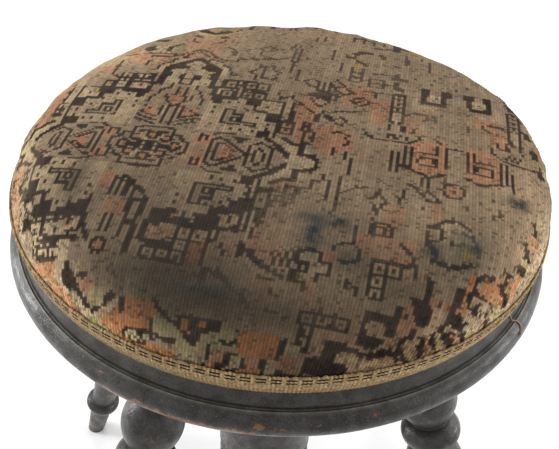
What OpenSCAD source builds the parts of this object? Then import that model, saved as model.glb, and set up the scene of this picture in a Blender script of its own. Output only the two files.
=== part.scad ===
// Revolving piano stool: a stuffed round seat on an iron screw that winds in and out of a
// turned four-legged stand. Millimetres, +Z up, origin on the floor under the seat's middle,
// drawn with the seat wound right down.

/* [Seat] */
// Diameter of the seat board across its rounded rim
seat_d = 355.6; // [340:0.1:375]
// Radius of the rounded rim's nose
nose_r = 10; // [7:0.5:12]
// Thickness of the seat board
board_h = 34; // [31:0.5:44]
// Width of the quirk groove on top of the rim
quirk_w = 2.6; // [1.5:0.1:4]
// Set-in of the quirk groove from the rim's outside
quirk_in = 7.6; // [6.5:0.1:9]
// Set-in of the cover's lower edge from the rim's outside
ledge_in = 11.2; // [10:0.1:14]
// Height of the cover's lower edge above the board's underside
hem_h = 28.6; // [25:0.1:30]

/* [Cushion] */
// Diameter across the widest part of the cushion
cushion_d = 344; // [330:0.5:352]
// Height of the crown above the board's underside
crown_h = 90; // [80:0.5:110]
// Height of the widest part above the board's underside
bulge_h = 48; // [44:0.5:54]
// Radius of the cushion's shoulder
shoulder_r = 30; // [26:0.5:34]
// Thickness of the pile carpet cover
cover_t = 2.5; // [1.5:0.1:4]
// Thickness of the calico lining
lining_t = 1; // [0.5:0.1:2]
// Width of the woven edge band
band_w = 19; // [12:0.5:22]
// Thickness of the woven edge band
band_t = 1.3; // [0.8:0.1:2]
// Number of tacks that hold the cover
tack_count = 16; // [8:1:24]
// Length of a tack's shank
tack_l = 11; // [7:0.5:14]
// Width of a tack's square shank
tack_w = 1.6; // [1:0.1:2.4]
// Diameter of a tack's head
tack_head_d = 5; // [3.5:0.1:6]

/* [Seat screw] */
// Distance the seat climbs in one turn
pitch = 8; // [6:0.5:10]
// Whole turns from right down to right up
turns = 13; // [8:1:14]
// Diameter of the screw over its thread
screw_d = 28; // [24:0.5:32]
// Depth of the thread
thread_depth = 2.4; // [1.5:0.1:3]
// Diameter of the screw's top end in the seat plate
top_spigot_d = 22; // [18:0.5:23]
// Diameter of the screw's lower end in the stop
stop_spigot_d = 16; // [12:0.5:18]
// Diameter of the stop washer
stop_d = 44; // [38:0.5:46]
// Thickness of the stop washer
stop_t = 6; // [4:0.5:10]
// Width of the square stop nut across its flats
stop_nut_w = 24; // [20:0.5:28]
// Thickness of the square stop nut
stop_nut_t = 10; // [8:0.5:14]
// Diameter of the iron seat plate
plate_d = 130; // [120:1:150]
// Thickness of the iron seat plate
plate_t = 5; // [4:0.5:8]
// Diameter of the seat plate's boss
boss_d = 44; // [38:0.5:50]
// Height of the seat plate's boss
boss_h = 14; // [10:0.5:20]
// Diameter of the leather buffer washer
washer_d = 62; // [50:1:80]
// Thickness of the leather buffer washer
washer_t = 3; // [2:0.5:5]
// Diameter of the iron nut's flange
flange_d = 100; // [96:1:110]
// Thickness of the iron nut's flange
flange_t = 5; // [4:0.5:8]
// Diameter of the iron nut's barrel
barrel_d = 42; // [38:0.5:46]
// Length of the iron nut's barrel below its flange
barrel_l = 40; // [34:1:50]

/* [Wood screws] */
// Diameter of a wood screw's head
screw_head_d = 9; // [7:0.5:11]
// Diameter of a wood screw's shank
screw_shank_d = 4.4; // [3:0.1:5]
// Length of a wood screw
wood_screw_l = 21; // [18:0.5:24]
// Number of wood screws in the seat plate and in the nut's flange
wood_screws = 4; // [3:1:6]
// Distance of a wood screw's middle from its plate's edge
screw_edge = 8.5; // [7:0.5:10]

/* [Stand] */
// Height of the platform's top above the floor
stand_h = 418; // [400:1:450]
// Diameter of the platform under the seat
platform_d = 284; // [276:1:300]
// Thickness of the platform
platform_t = 28; // [26:0.5:36]
// Diameter of the column's drum
column_d = 78.4; // [72:0.1:88]
// Diameter of the column's shoulder under the platform
column_top_d = 112; // [100:1:130]
// Diameter of the bore that the seat screw hangs in
column_bore_d = 50; // [48:0.5:54]
// Height of the column's lower end above the floor
column_foot_h = 152; // [140:1:170]
// Diameter of the column's spigot in the platform
spigot_d = 72; // [66:0.5:74]
// Length of the column's spigot
spigot_l = 14; // [10:0.5:16]
// Length of the drop finial below the column
finial_l = 52; // [40:1:70]
// Diameter of the finial's ball
finial_d = 50; // [40:1:60]
// Length of the finial's plug in the column's bore
plug_l = 18; // [12:1:24]

/* [Legs] */
// Distance from the stand's middle to where a leg's axis meets the floor
leg_spread = 234.5; // [220:0.5:245]
// Lean of a leg from upright
leg_splay = 16.5; // [15:0.5:17.5]
// Diameter of the peg foot at the floor
peg_d = 17.6; // [15:0.1:22]
// Diameter of the peg foot under the ankle ring
ankle_d = 23.6; // [20:0.1:27]
// Diameter of the ankle ring
ring_d = 35; // [31:0.1:40]
// Thickness of the ankle ring
ring_t = 14.6; // [12:0.1:20]
// Distance of the ankle ring's middle from the floor, along the leg
ring_at = 65; // [58:0.5:76]
// Diameter of the shank just above the ankle ring
shank_low_d = 24.4; // [20:0.1:28]
// Diameter of the shank at its top
shank_top_d = 30; // [26:0.1:33]
// Length of the plain shank
shank_l = 92; // [80:1:100]
// Length of the small reel on top of the shank
reel_l = 8; // [5:0.5:12]
// Diameter of the balls
ball_d = 42; // [38:0.1:46]
// Diameter of the necks between the balls and the beads
leg_neck_d = 24; // [20:0.5:28]
// Diameter of the collar under the platform
collar_d = 35; // [30:0.5:40]
// Diameter of the leg's tenon in the platform
tenon_d = 26; // [22:0.5:28]
// Thickness of a tenon's wedge at its top
wedge_t = 3.2; // [2:0.1:5]

/* [Hidden] */
// Clearance round a moving shaft
running = 0.1;
// Clearance between the stop and the nut when the seat is right up
stop_gap = 0.5;
// How far a cutting shape runs past the face it cuts
overrun = 1;
$fn = 96;

// Heights above the floor
platform_bottom = stand_h - platform_t;
plate_bottom = stand_h + washer_t;
board_bottom = plate_bottom + plate_t;
nut_bottom = stand_h - flange_t - barrel_l;
travel = pitch * turns;
stop_top = nut_bottom - stop_gap - travel;
stop_bottom = stop_top - stop_t;
screw_bottom = stop_bottom - stop_nut_t;
screw_top = board_bottom + boss_h;

// Cushion profile: a flat crown arc that runs into a round shoulder
rim_r = seat_d / 2;
shoulder_x = cushion_d / 2 - shoulder_r;
crown_rise = crown_h - bulge_h;
crown_r = (pow(shoulder_x, 2) + pow(crown_rise, 2) - pow(shoulder_r, 2))
    / (2 * (crown_rise - shoulder_r));
crown_lean = asin(shoulder_x / (crown_r - shoulder_r));
crown_steps = 12;
shoulder_steps = 14;

// The four legs are drawn one by one, so their number is fixed
leg_count = 4;

// Legs, measured along a leg's axis from the floor
leg_l = platform_bottom / cos(leg_splay);
ring_low = ring_at - ring_t / 2;
turning_at = ring_low + ring_t + shank_l + reel_l;
turning_l = leg_l - turning_at;
// Shares of the turned length above the shank that its turnings take, from the lowest up:
// vase, bead, ball, bead and ball, with the collar taking the rest
vase_share = 0.358;
low_bead_share = 0.072;
low_ball_share = 0.200;
bead_share = 0.087;
ball_share = 0.187;
collar_share = 1 - vase_share - low_bead_share - low_ball_share - bead_share - ball_share;

// Share of the platform's thickness that each of the two beads on its edge takes
platform_bead_share = 0.4;
// Share of the platform's thickness that a tenon's wedge goes down
wedge_share = 0.8;

// Shares of the column's length that its turnings take, from the lowest up
column_l = platform_bottom - column_foot_h;
base_share = 0.06;
fillet_share = 0.03;
cove_share = 0.055;
drum_share = 0.42;
neck_share = 0.08;
top_share = 0.10;
vase_top_share = 1 - base_share - 3 * fillet_share - cove_share - drum_share
    - neck_share - top_share;

// Shares of the finial's length that its turnings take, from the top down
finial_collar_share = 0.16;
finial_neck_share = 0.14;
finial_ball_share = 0.52;
finial_tip_share = 1 - finial_collar_share - finial_neck_share - finial_ball_share;

// Points nearer than this are one point
same_point = 0.001;
// Straight steps in a turned curve and in the rim's nose
curve_steps = 14;
// Sides of the screw's rings and rings in one turn of its thread
thread_sides = 20;
thread_rows = 6;

// Sum of the first n entries of a list
function sum_to(list, n) = n <= 0 ? 0 : list[n - 1] + sum_to(list, n - 1);

// Radius of an arc with this chord and this rise
function arc_radius(chord, rise) = (pow(chord / 2, 2) + pow(rise, 2)) / (2 * rise);

// Half the angle of an arc with this chord and this rise
function arc_half_angle(chord, rise) = 2 * atan(2 * rise / chord);

// First item of each entry of a list
function firsts(list) = [for (entry = list) entry[0]];

// The points of a list that don't repeat the one before
function distinct(points) =
    [for (i = [0 : len(points) - 1])
        if (i == 0 || norm(points[i] - points[i - 1]) > same_point) points[i]];

// Turned profiles, as points from low to high in the half plane right of the axis

// A plain or tapered length
function taper_points(low, high, low_r, high_r) = [[low_r, low], [high_r, high]];

// A swelling between two equal ends, or with a negative rise a hollow between them
function curve_points(low, high, end_r, mid_r) =
    let (
        hollow = mid_r < end_r ? -1 : 1,
        rise = abs(mid_r - end_r),
        arc_r = arc_radius(high - low, rise),
        half_angle = arc_half_angle(high - low, rise)
    )
    [for (i = [0 : curve_steps])
        let (a = half_angle * (2 * i / curve_steps - 1))
        [mid_r - hollow * arc_r * (1 - cos(a)), (low + high) / 2 + arc_r * sin(a)]];

// Turnings stacked upwards from a start height, round a bore. Each one gives its length, its
// kind and its two radii: low and high for a taper, end and middle for a curve
module turned_2d(turnings, start = 0, inner_r = 0) {
    lengths = firsts(turnings);
    points = [
        for (i = [0 : len(turnings) - 1])
            let (
                low = start + sum_to(lengths, i),
                high = start + sum_to(lengths, i + 1),
                kind = turnings[i][1],
                first_r = turnings[i][2],
                second_r = turnings[i][3]
            )
            each kind == "taper"
                ? taper_points(low, high, first_r, second_r)
                : curve_points(low, high, first_r, second_r)
    ];
    polygon(concat(
        [[inner_r, start]],
        distinct(points),
        [[inner_r, start + sum_to(lengths, len(lengths))]]
    ));
}

// The solid that a countersunk wood screw fills, its head's top at height zero
module screw_solid() {
    head_h = (screw_head_d - screw_shank_d) / 2;
    translate([0, 0, -head_h]) cylinder(head_h, d1 = screw_shank_d, d2 = screw_head_d);
    translate([0, 0, -wood_screw_l]) cylinder(wood_screw_l - head_h, d = screw_shank_d);
}

// The same screw with the slot in its head
module wood_screw() {
    slot_w = screw_head_d / 7;
    difference() {
        screw_solid();
        translate([-screw_head_d, -slot_w / 2, -slot_w])
            cube([2 * screw_head_d, slot_w, slot_w + overrun]);
    }
}

// Places its children at the wood screws of a round plate
module round_plate(plate_diameter) {
    for (i = [0 : wood_screws - 1])
        rotate([0, 0, i * 360 / wood_screws])
            translate([plate_diameter / 2 - screw_edge, 0, 0])
                children();
}

// Cushion layers: each is drawn set in from the cushion's outside by some depth

// Points of the cushion's profile from its crown down to the hem
function cushion_points(depth) =
    let (
        crown_arc = crown_r - depth,
        shoulder_arc = shoulder_r - depth,
        hem_angle = asin((hem_h - bulge_h) / shoulder_arc),
        start_angle = 90 - crown_lean
    )
    concat(
        [for (i = [0 : crown_steps])
            let (a = crown_lean * i / crown_steps)
            [crown_arc * sin(a), crown_h - crown_r + crown_arc * cos(a)]],
        [for (i = [1 : shoulder_steps])
            let (a = start_angle + (hem_angle - start_angle) * i / shoulder_steps)
            [shoulder_x + shoulder_arc * cos(a), bulge_h + shoulder_arc * sin(a)]]
    );

module cushion_2d(depth) {
    polygon(concat(cushion_points(depth), [[0, hem_h]]));
}

// A flat strip of the half plane between two heights
module strip_2d(low, high) {
    translate([0, low]) square([seat_d, high - low]);
}

// Seat

module seat_board() {
    quirk_r = quirk_w / 2;
    nose_x = rim_r - nose_r;
    nose_end = acos((nose_r - quirk_in) / nose_r);
    color("#2b2622")
    difference() {
        translate([0, 0, board_bottom])
        rotate_extrude()
        difference() {
            intersection() {
                polygon(concat(
                    cushion_points(cover_t + lining_t),
                    [[rim_r - ledge_in, hem_h]],
                    [for (i = [curve_steps : -1 : 0])
                        let (a = -90 + (nose_end + 90) * i / curve_steps)
                        [nose_x + nose_r * cos(a), nose_r + nose_r * sin(a)]],
                    [[0, 0]]
                ));
                strip_2d(0, board_h);
            }
            translate([nose_x + nose_r * cos(nose_end) + quirk_r / 2, nose_r + nose_r * sin(nose_end)])
                circle(quirk_r);
        }
        translate([0, 0, board_bottom - overrun]) cylinder(boss_h + overrun, d = boss_d);
        plate_screw_holes();
        tacks();
    }
}

module stuffing() {
    color("#6b5136")
    translate([0, 0, board_bottom])
    rotate_extrude()
    intersection() {
        cushion_2d(cover_t + lining_t);
        strip_2d(board_h, crown_h);
    }
}

module cushion_layer(outer, inner) {
    translate([0, 0, board_bottom])
    rotate_extrude()
    difference() {
        cushion_2d(outer);
        cushion_2d(inner);
    }
}

module calico_lining() {
    color("#cbb994")
    difference() {
        cushion_layer(cover_t, cover_t + lining_t);
        tacks();
    }
}

module seat_cover() {
    color("#7d6650")
    difference() {
        cushion_layer(0, cover_t);
        tacks();
    }
}

module edge_band() {
    color("#a98d5c")
    difference() {
        translate([0, 0, board_bottom])
        rotate_extrude()
        intersection() {
            difference() {
                cushion_2d(-band_t);
                cushion_2d(0);
            }
            strip_2d(hem_h, hem_h + band_w);
        }
        tacks();
    }
}

// Cut tacks driven level through the cover and the lining into the board's edge, with their
// heads flat on the cover under the band
module tacks() {
    tack_h = (hem_h + board_h) / 2;
    drop = bulge_h - tack_h;
    face_x = shoulder_x + sqrt(pow(shoulder_r, 2) - pow(drop, 2));
    lean = asin(drop / shoulder_r);
    head_t = band_t / 2;
    for (i = [0 : tack_count - 1])
        rotate([0, 0, (i + 0.5) * 360 / tack_count])
            translate([face_x, 0, board_bottom + tack_h]) {
                translate([-tack_l, -tack_w / 2, -tack_w / 2]) cube([tack_l, tack_w, tack_w]);
                rotate([0, 90 + lean, 0]) cylinder(head_t, d = tack_head_d);
            }
}

module cover_tacks() {
    color("#3a3a3c") tacks();
}

// Seat plate and screw

module plate_screw_holes() {
    translate([0, 0, plate_bottom])
        round_plate(plate_d) mirror([0, 0, 1]) screw_solid();
}

module seat_plate() {
    color("#3c3a38")
    difference() {
        union() {
            translate([0, 0, plate_bottom]) cylinder(plate_t, d = plate_d);
            translate([0, 0, board_bottom]) cylinder(boss_h, d = boss_d);
        }
        translate([0, 0, plate_bottom - overrun])
            cylinder(plate_t + boss_h + 2 * overrun, d = top_spigot_d);
        plate_screw_holes();
    }
}

module plate_screws() {
    color("#55524e")
    translate([0, 0, plate_bottom])
        round_plate(plate_d) mirror([0, 0, 1]) wood_screw();
}

// The seat screw is one skin: rings of points from its lower end up, with a plain spigot at
// each end and a rounded thread between them that dies out at both shoulders
module seat_screw() {
    thread_l = plate_bottom - stop_top;
    rows = round(thread_l / pitch * thread_rows);
    root_r = screw_d / 2 - thread_depth;
    step = thread_l / rows;
    // Share of the full thread at a height, none at the shoulders
    function fade(h) = min(1, min(h, thread_l - h) / (pitch / 2));
    function thread_r(h, a) =
        root_r + thread_depth * fade(h) * (1 + cos(360 * h / pitch - a)) / 2;
    rings = concat(
        [[for (k = [0 : thread_sides - 1]) [stop_spigot_d / 2, screw_bottom]]],
        [[for (k = [0 : thread_sides - 1]) [stop_spigot_d / 2, stop_top]]],
        [for (j = [0 : rows])
            [for (k = [0 : thread_sides - 1])
                [thread_r(j * step, k * 360 / thread_sides), stop_top + j * step]]],
        [[for (k = [0 : thread_sides - 1]) [top_spigot_d / 2, plate_bottom]]],
        [[for (k = [0 : thread_sides - 1]) [top_spigot_d / 2, screw_top]]]
    );
    last = len(rings) - 1;
    skin = [
        for (ring = rings)
            for (k = [0 : thread_sides - 1])
                let (a = k * 360 / thread_sides)
                [ring[k][0] * cos(a), ring[k][0] * sin(a), ring[k][1]]
    ];
    function at(j, k) = j * thread_sides + k % thread_sides;
    faces = concat(
        [[for (k = [0 : thread_sides - 1]) at(0, k)]],
        [[for (k = [thread_sides - 1 : -1 : 0]) at(last, k)]],
        [for (j = [0 : last - 1])
            for (k = [0 : thread_sides - 1])
                [at(j, k), at(j + 1, k), at(j + 1, k + 1)]],
        [for (j = [0 : last - 1])
            for (k = [0 : thread_sides - 1])
                [at(j, k), at(j + 1, k + 1), at(j, k + 1)]]
    );
    color("#6a6763") polyhedron(skin, faces, convexity = 10);
}

module stop_washer() {
    color("#4b4845")
    translate([0, 0, stop_bottom])
    difference() {
        cylinder(stop_t, d = stop_d);
        translate([0, 0, -overrun]) cylinder(stop_t + 2 * overrun, d = stop_spigot_d);
    }
}

module stop_nut() {
    color("#4b4845")
    translate([0, 0, screw_bottom])
    difference() {
        translate([-stop_nut_w / 2, -stop_nut_w / 2, 0])
            cube([stop_nut_w, stop_nut_w, stop_nut_t]);
        translate([0, 0, -overrun]) cylinder(stop_nut_t + 2 * overrun, d = stop_spigot_d);
    }
}

module buffer_washer() {
    color("#6e4426")
    translate([0, 0, stand_h])
    difference() {
        cylinder(washer_t, d = washer_d);
        translate([0, 0, -overrun]) cylinder(washer_t + 2 * overrun, d = screw_d + 2 * running);
    }
}

// Stand

module nut_screw_holes() {
    translate([0, 0, stand_h]) round_plate(flange_d) screw_solid();
}

module screw_nut() {
    color("#3c3a38")
    difference() {
        union() {
            translate([0, 0, stand_h - flange_t]) cylinder(flange_t, d = flange_d);
            translate([0, 0, nut_bottom]) cylinder(barrel_l, d = barrel_d);
        }
        translate([0, 0, nut_bottom - overrun])
            cylinder(barrel_l + flange_t + 2 * overrun, d = screw_d + 2 * running);
        nut_screw_holes();
    }
}

module nut_screws() {
    color("#55524e")
    translate([0, 0, stand_h]) round_plate(flange_d) wood_screw();
}

module platform() {
    platform_r = platform_d / 2;
    bead_l = platform_t * platform_bead_share;
    groove_l = platform_t - 2 * bead_l;
    edge_r = platform_r - bead_l / 2;
    color("#2b2622")
    difference() {
        translate([0, 0, platform_bottom])
        rotate_extrude()
        turned_2d([
            [bead_l, "curve", edge_r, platform_r],
            [groove_l, "curve", edge_r, edge_r - groove_l / 2],
            [bead_l, "curve", edge_r, platform_r]
        ]);
        translate([0, 0, stand_h - flange_t]) cylinder(flange_t + overrun, d = flange_d);
        translate([0, 0, platform_bottom - overrun])
            cylinder(platform_t + 2 * overrun, d = barrel_d);
        translate([0, 0, platform_bottom - overrun]) cylinder(spigot_l + overrun, d = spigot_d);
        nut_screw_holes();
        for (i = [0 : leg_count - 1])
            at_leg(i) tenon_bore();
    }
}

module column() {
    drum_r = column_d / 2;
    bore_r = column_bore_d / 2;
    top_r = column_top_d / 2;
    // Radii of the turnings between the drum's and the bore's
    fillet_r = drum_r - (drum_r - bore_r) / 5;
    waist_r = (drum_r + bore_r) / 2;
    color("#2b2622")
    translate([0, 0, column_foot_h])
    rotate_extrude()
    turned_2d([
        [column_l * base_share, "curve", fillet_r, drum_r],
        [column_l * fillet_share, "taper", fillet_r, fillet_r],
        [column_l * cove_share, "curve", drum_r, fillet_r],
        [column_l * fillet_share, "curve", fillet_r, drum_r],
        [column_l * drum_share, "taper", drum_r, drum_r],
        [column_l * fillet_share, "curve", waist_r, drum_r],
        [column_l * vase_top_share, "curve", waist_r, drum_r],
        [column_l * neck_share, "curve", fillet_r, waist_r],
        [column_l * top_share, "curve", (drum_r + top_r) / 2, top_r],
        [spigot_l, "taper", spigot_d / 2, spigot_d / 2]
    ], inner_r = bore_r);
}

module drop_finial() {
    ball_r = finial_d / 2;
    neck_r = ball_r / 2;
    tip_r = ball_r / 4;
    collar_r = (column_d + column_bore_d) / 4;
    plug_r = column_bore_d / 2;
    color("#2b2622")
    translate([0, 0, column_foot_h - finial_l])
    rotate_extrude()
    turned_2d([
        [finial_l * finial_tip_share, "taper", tip_r, neck_r],
        [finial_l * finial_ball_share, "curve", neck_r, ball_r],
        [finial_l * finial_neck_share, "taper", neck_r, neck_r],
        [finial_l * finial_collar_share, "taper", ball_r, collar_r],
        [plug_l, "taper", plug_r, plug_r]
    ]);
}

// Legs

// Moves its children onto a leg's axis, whose height zero is on the floor
module at_leg(i) {
    rotate([0, 0, 45 + i * 360 / leg_count])
        translate([leg_spread, 0, 0])
            rotate([0, -leg_splay, 0])
                children();
}

// Everything between two heights above the floor
module slab(low, high) {
    reach = leg_spread + leg_l;
    translate([-reach, -reach, low]) cube([2 * reach, 2 * reach, high - low]);
}

module tenon_bore() {
    translate([0, 0, leg_l - tenon_d])
        cylinder(platform_t + 2 * tenon_d, d = tenon_d);
}

// A wedge that spreads the tenon, thin at its lower end
module wedge() {
    top = stand_h / cos(leg_splay) + wedge_t;
    wedge_l = platform_t * wedge_share;
    thin = wedge_t / 4;
    translate([0, tenon_d / 2, 0])
        rotate([90, 0, 0])
            linear_extrude(tenon_d)
                polygon([
                    [-thin / 2, top - wedge_l],
                    [thin / 2, top - wedge_l],
                    [wedge_t / 2, top],
                    [-wedge_t / 2, top]
                ]);
}

// A leg's turning, run on below the floor and up into the platform so that it can be trimmed
module leg_2d() {
    neck_r = leg_neck_d / 2;
    ball_r = ball_d / 2;
    shank_r = shank_top_d / 2;
    turned_2d([
        [peg_d, "taper", peg_d / 2, peg_d / 2],
        [ring_low, "taper", peg_d / 2, ankle_d / 2],
        [ring_t, "curve", ankle_d / 2, ring_d / 2],
        [shank_l, "taper", shank_low_d / 2, shank_r],
        [reel_l, "curve", shank_r, shank_r + reel_l / 3],
        [turning_l * vase_share, "curve", neck_r, ball_r],
        [turning_l * low_bead_share, "curve", neck_r, (ball_r + shank_r) / 2],
        [turning_l * low_ball_share, "curve", neck_r, ball_r],
        [turning_l * bead_share, "curve", neck_r, ball_r],
        [turning_l * ball_share, "curve", neck_r, ball_r],
        [turning_l * collar_share + tenon_d, "taper", shank_r, collar_d / 2]
    ], start = -peg_d);
}

module leg(i) {
    color("#2b2622")
    difference() {
        union() {
            intersection() {
                at_leg(i) rotate_extrude() leg_2d();
                slab(0, platform_bottom);
            }
            intersection() {
                at_leg(i) tenon_bore();
                slab(platform_bottom - overrun, stand_h);
            }
        }
        at_leg(i) wedge();
    }
}

module leg_front_right() {
    leg(3);
}

module leg_back_right() {
    leg(0);
}

module leg_back_left() {
    leg(1);
}

module leg_front_left() {
    leg(2);
}

module tenon_wedges() {
    color("#8a6a44")
    intersection() {
        for (i = [0 : leg_count - 1])
            intersection() {
                at_leg(i) wedge();
                at_leg(i) tenon_bore();
            }
        slab(platform_bottom, stand_h);
    }
}

seat_board();
stuffing();
calico_lining();
seat_cover();
edge_band();
cover_tacks();
seat_plate();
plate_screws();
seat_screw();
stop_washer();
stop_nut();
buffer_washer();
screw_nut();
nut_screws();
platform();
column();
drop_finial();
leg_front_right();
leg_back_right();
leg_back_left();
leg_front_left();
tenon_wedges();
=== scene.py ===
"""Dresses a revolving piano stool: turned ebonised wood, a worn carpet seat on an iron
screw, a woven selvedge and a plain studio. Lengths are metres unless a name says otherwise."""

import functools
import math
import random

import bmesh
import bpy
import numpy as np
from bpy.props import FloatProperty, FloatVectorProperty, PointerProperty
from bpy.types import Operator, Panel, PropertyGroup
from mathutils import Matrix, Vector, noise
from mathutils.bvhtree import BVHTree


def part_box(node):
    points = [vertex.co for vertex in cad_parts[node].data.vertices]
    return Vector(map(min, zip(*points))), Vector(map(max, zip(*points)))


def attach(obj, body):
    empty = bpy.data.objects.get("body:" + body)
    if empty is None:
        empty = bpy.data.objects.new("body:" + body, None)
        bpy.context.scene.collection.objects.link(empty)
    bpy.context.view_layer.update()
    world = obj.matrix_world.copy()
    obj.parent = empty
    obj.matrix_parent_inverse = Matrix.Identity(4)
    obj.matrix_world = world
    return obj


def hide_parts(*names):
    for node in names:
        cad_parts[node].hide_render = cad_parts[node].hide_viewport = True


bl_info = {
    "name": "Revolving piano stool",
    "version": (1, 0, 0),
    "blender": (4, 5, 0),
    "location": "3D View > Sidebar > Stool",
    "description": "Turned stool with a worn carpet seat on an iron screw",
    "category": "Object",
}

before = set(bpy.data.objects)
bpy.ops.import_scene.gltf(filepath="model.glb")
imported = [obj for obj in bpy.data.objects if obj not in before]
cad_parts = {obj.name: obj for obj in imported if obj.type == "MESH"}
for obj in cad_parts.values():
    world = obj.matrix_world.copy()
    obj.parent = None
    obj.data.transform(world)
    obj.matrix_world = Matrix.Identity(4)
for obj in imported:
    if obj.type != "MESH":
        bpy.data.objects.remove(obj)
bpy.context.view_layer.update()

MM = 0.001
SEED = 11

# Steps between points where a turning shows and where it is hidden
FINE, COARSE = 0.8 * MM, 6 * MM
ROUND_Z = {"cent": (0, 0, 0), "axis": (0, 0, 1)}

# The carpet, in millimetres: its knots and how it was pulled askew
RIB, ROW = 1.92, 1.5
REACH = 216
RIB_LEAN = 8
ROW_TILT, ROW_SAG = -0.104, 0.000475
SETTLE_ROUNDS = 8

# Its relief: ribs, tufts, snags, lumps with their size in millimetres first, and how far dents
# stay off the calico; then the rings that close the cover underneath
RIB_RELIEF = 0.25 * MM
TUFT, SNAG = 0.7 * MM, 1.8 * MM
ROUGH = ((7, 1.1 * MM), (19, 1.6 * MM))
CLEAR = 0.4 * MM
BACK_RINGS = 14

# Where the carpet is loose and rough, in millimetres from its middle and from its hem
LOOSE_FROM, LOOSE_OVER = 150, 30
HEM_CALM, HEM_FADE = 24, 6

# How the stuffing pushes: rings and sectors, how far off it is felt for, the least and the most,
# and how far above the hem the tacks begin to hold it and over what length
PUSH_RINGS, PUSH_SECTORS = 55, 96
FEEL = 20 * MM
PUSH_LEAST, PUSH_MOST = -1.2 * MM, 3 * MM
HELD, HELD_RAMP = 31 * MM, 9 * MM

# The cloth under pressure: frames, pressure, grid and how far a point may move
CLOTH_FRAMES, CLOTH_PRESSURE, CLOTH_VOXEL, SWELL = 20, 4, 6 * MM, 2.5 * MM

# How the cushion has settled: aside and away, and a fuller side by its heading and half width
# in degrees, distance from the crown, half depth and height
LOPSIDED = (2.6 * MM, 4.5 * MM)
FULL_HEADING, FULL_WIDE = 26, 44
FULL_ALONG, FULL_DEEP, FULL_HIGH = 176 * MM, 34 * MM, 2.8 * MM

# The thick pile at the near edge, in millimetres: its middle, how far from that it starts, how
# raggedly and over what length, and how near
PILE_MIDDLE, PILE_FROM, PILE_RAGGED, PILE_OVER, PILE_NEAR = -12, 168, 9, 10, -60

# The knots' colours: how much runs over to the next knot, how far they stray and what share
# slips, with what thick pile adds to both
BLEED = 0.30
STRAY, PILE_STRAY = 0.55, 2.6
SLIPPED, PILE_SLIPPED = 0.04, 0.10

# Their wear: everywhere, at most, in single knots and the share of these, then how much of it
# the dark ground takes and how much thick pile is spared
WORN, WORN_MOST, WORN_KNOT, WORN_KNOTS = 0.12, 0.85, 0.34, 0.26
DARK_TAKES, PILE_SPARED = 0.62, 0.75

# Their shade, that of a speck and the share of specks
SHADE, SPECK, SPECKS = 1.12, 0.45, 0.075

# The carpet's wools, then a thin line's width and a dot's half sizes in millimetres
GROUND, DARK, CREAM, SALMON, SAGE, MUSTARD, TEAL, ORANGE = range(8)
THIN = 1.9
DOT = (0.96, 1.5)

# Where the carpet has faded, been soiled and darkened with painted shade, bleached and
# brightened with painted light, blushed and snagged: middle, half width, half depth and how much
FADED = (
    (0, 95, 75, 45, 0.26),
    (95, 105, 45, 45, 0.30),
    (-40, 85, 45, 40, 0.32),
    (-130, 85, 30, 40, 0.30),
    (55, 60, 30, 25, 0.26),
    (95, 12, 26, 18, 0.60),
    (-5, 25, 40, 25, 0.16),
    (40, -85, 40, 22, 0.30),
    (105, -75, 35, 30, 0.26),
    (140, -80, 20, 30, 0.30),
    (0, -150, 60, 9, 0.60),
    (11, -102, 12, 30, 0.66),
    (70, -112, 20, 8, 0.30),
    (-158, -104, 16, 34, 0.70),
)
# Darker patches, most toward the front: partly dirt and partly painted shade
SOILED_AND_SHADED = (
    (-45, -148, 45, 16, 0.74),
    (20, -158, 38, 11, 0.60),
    (-108, -88, 7, 22, 0.60),
    (-70, -105, 50, 35, 0.40),
    (-20, -120, 60, 40, 0.24),
    (30, -110, 10, 16, 0.30),
    (100, -108, 24, 15, 0.40),
    (-90, -40, 60, 50, 0.22),
    (-30, -4, 44, 36, 0.12),
    (60, -135, 50, 30, 0.24),
    (12, -32, 20, 26, 0.26),
    (-12, -90, 30, 24, 0.30),
    (50, -102, 24, 18, 0.26),
    (-30, -130, 26, 22, 0.34),
    (80, -134, 32, 20, 0.40),
    (-10, -156, 34, 18, 0.62),
    (-34, -163, 22, 12, 0.40),
    (46, -202, 28, 12, 0.85),
    (26, -180, 40, 12, 0.34),
    (76, -160, 26, 14, 0.26),
    (32, -190, 26, 14, 0.40),
    (58, -45, 16, 16, 0.24),
    (-45, -190, 20, 8, 0.20),
)
# Paler patches, mostly at the cushion's sides: bleached toward cream and brightened with painted
# light
BLEACHED_AND_LIT = (
    (-100, 20, 46, 90, 0.10),
    (-84, 104, 24, 18, 0.22),
    (-140, 60, 22, 34, 0.90),
    (-156, 12, 14, 30, 0.26),
    (-156, -90, 18, 46, 0.55),
    (-132, -142, 22, 22, 0.80),
    (-108, -164, 22, 14, 1.00),
    (-74, -188, 28, 12, 1.20),
    (-44, -200, 24, 10, 0.60),
    (148, -20, 18, 50, 0.16),
    (158, -84, 20, 46, 0.75),
    (182, -78, 12, 24, 1.00),
    (152, -146, 28, 24, 1.30),
    (0, 124, 60, 16, 0.06),
)
BLUSHED = (
    (80, -172, 44, 24, 0.46),
    (-24, -128, 44, 18, 0.24),
    (110, -150, 16, 16, 0.30),
    (75, -25, 30, 26, 0.14),
    (118, -25, 22, 30, 0.12),
    (40, 30, 18, 16, 0.10),
    (-75, 2, 14, 18, 0.36),
    (-50, -55, 16, 16, 0.30),
    (-74, 92, 18, 22, 0.34),
    (70, -112, 28, 14, 0.36),
    (122, 22, 18, 14, 0.24),
    (-110, 56, 20, 12, 0.34),
    (150, -60, 14, 60, 0.30),
    (10, 130, 60, 12, 0.16),
)
SNAGGED = (
    (31, -107, 4.5, 12, 1.30),
    (26, -96, 8, 3, 0.90),
    (43, -97, 6, 4, 1.10),
    (145, -56, 8, 5, 1.30),
    (114, -102, 9, 11, 1.05),
    (95, -107, 7, 4, 0.80),
    (52, -120, 9, 7, 0.60),
    (-16, -152, 14, 3.4, 0.75),
)

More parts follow.
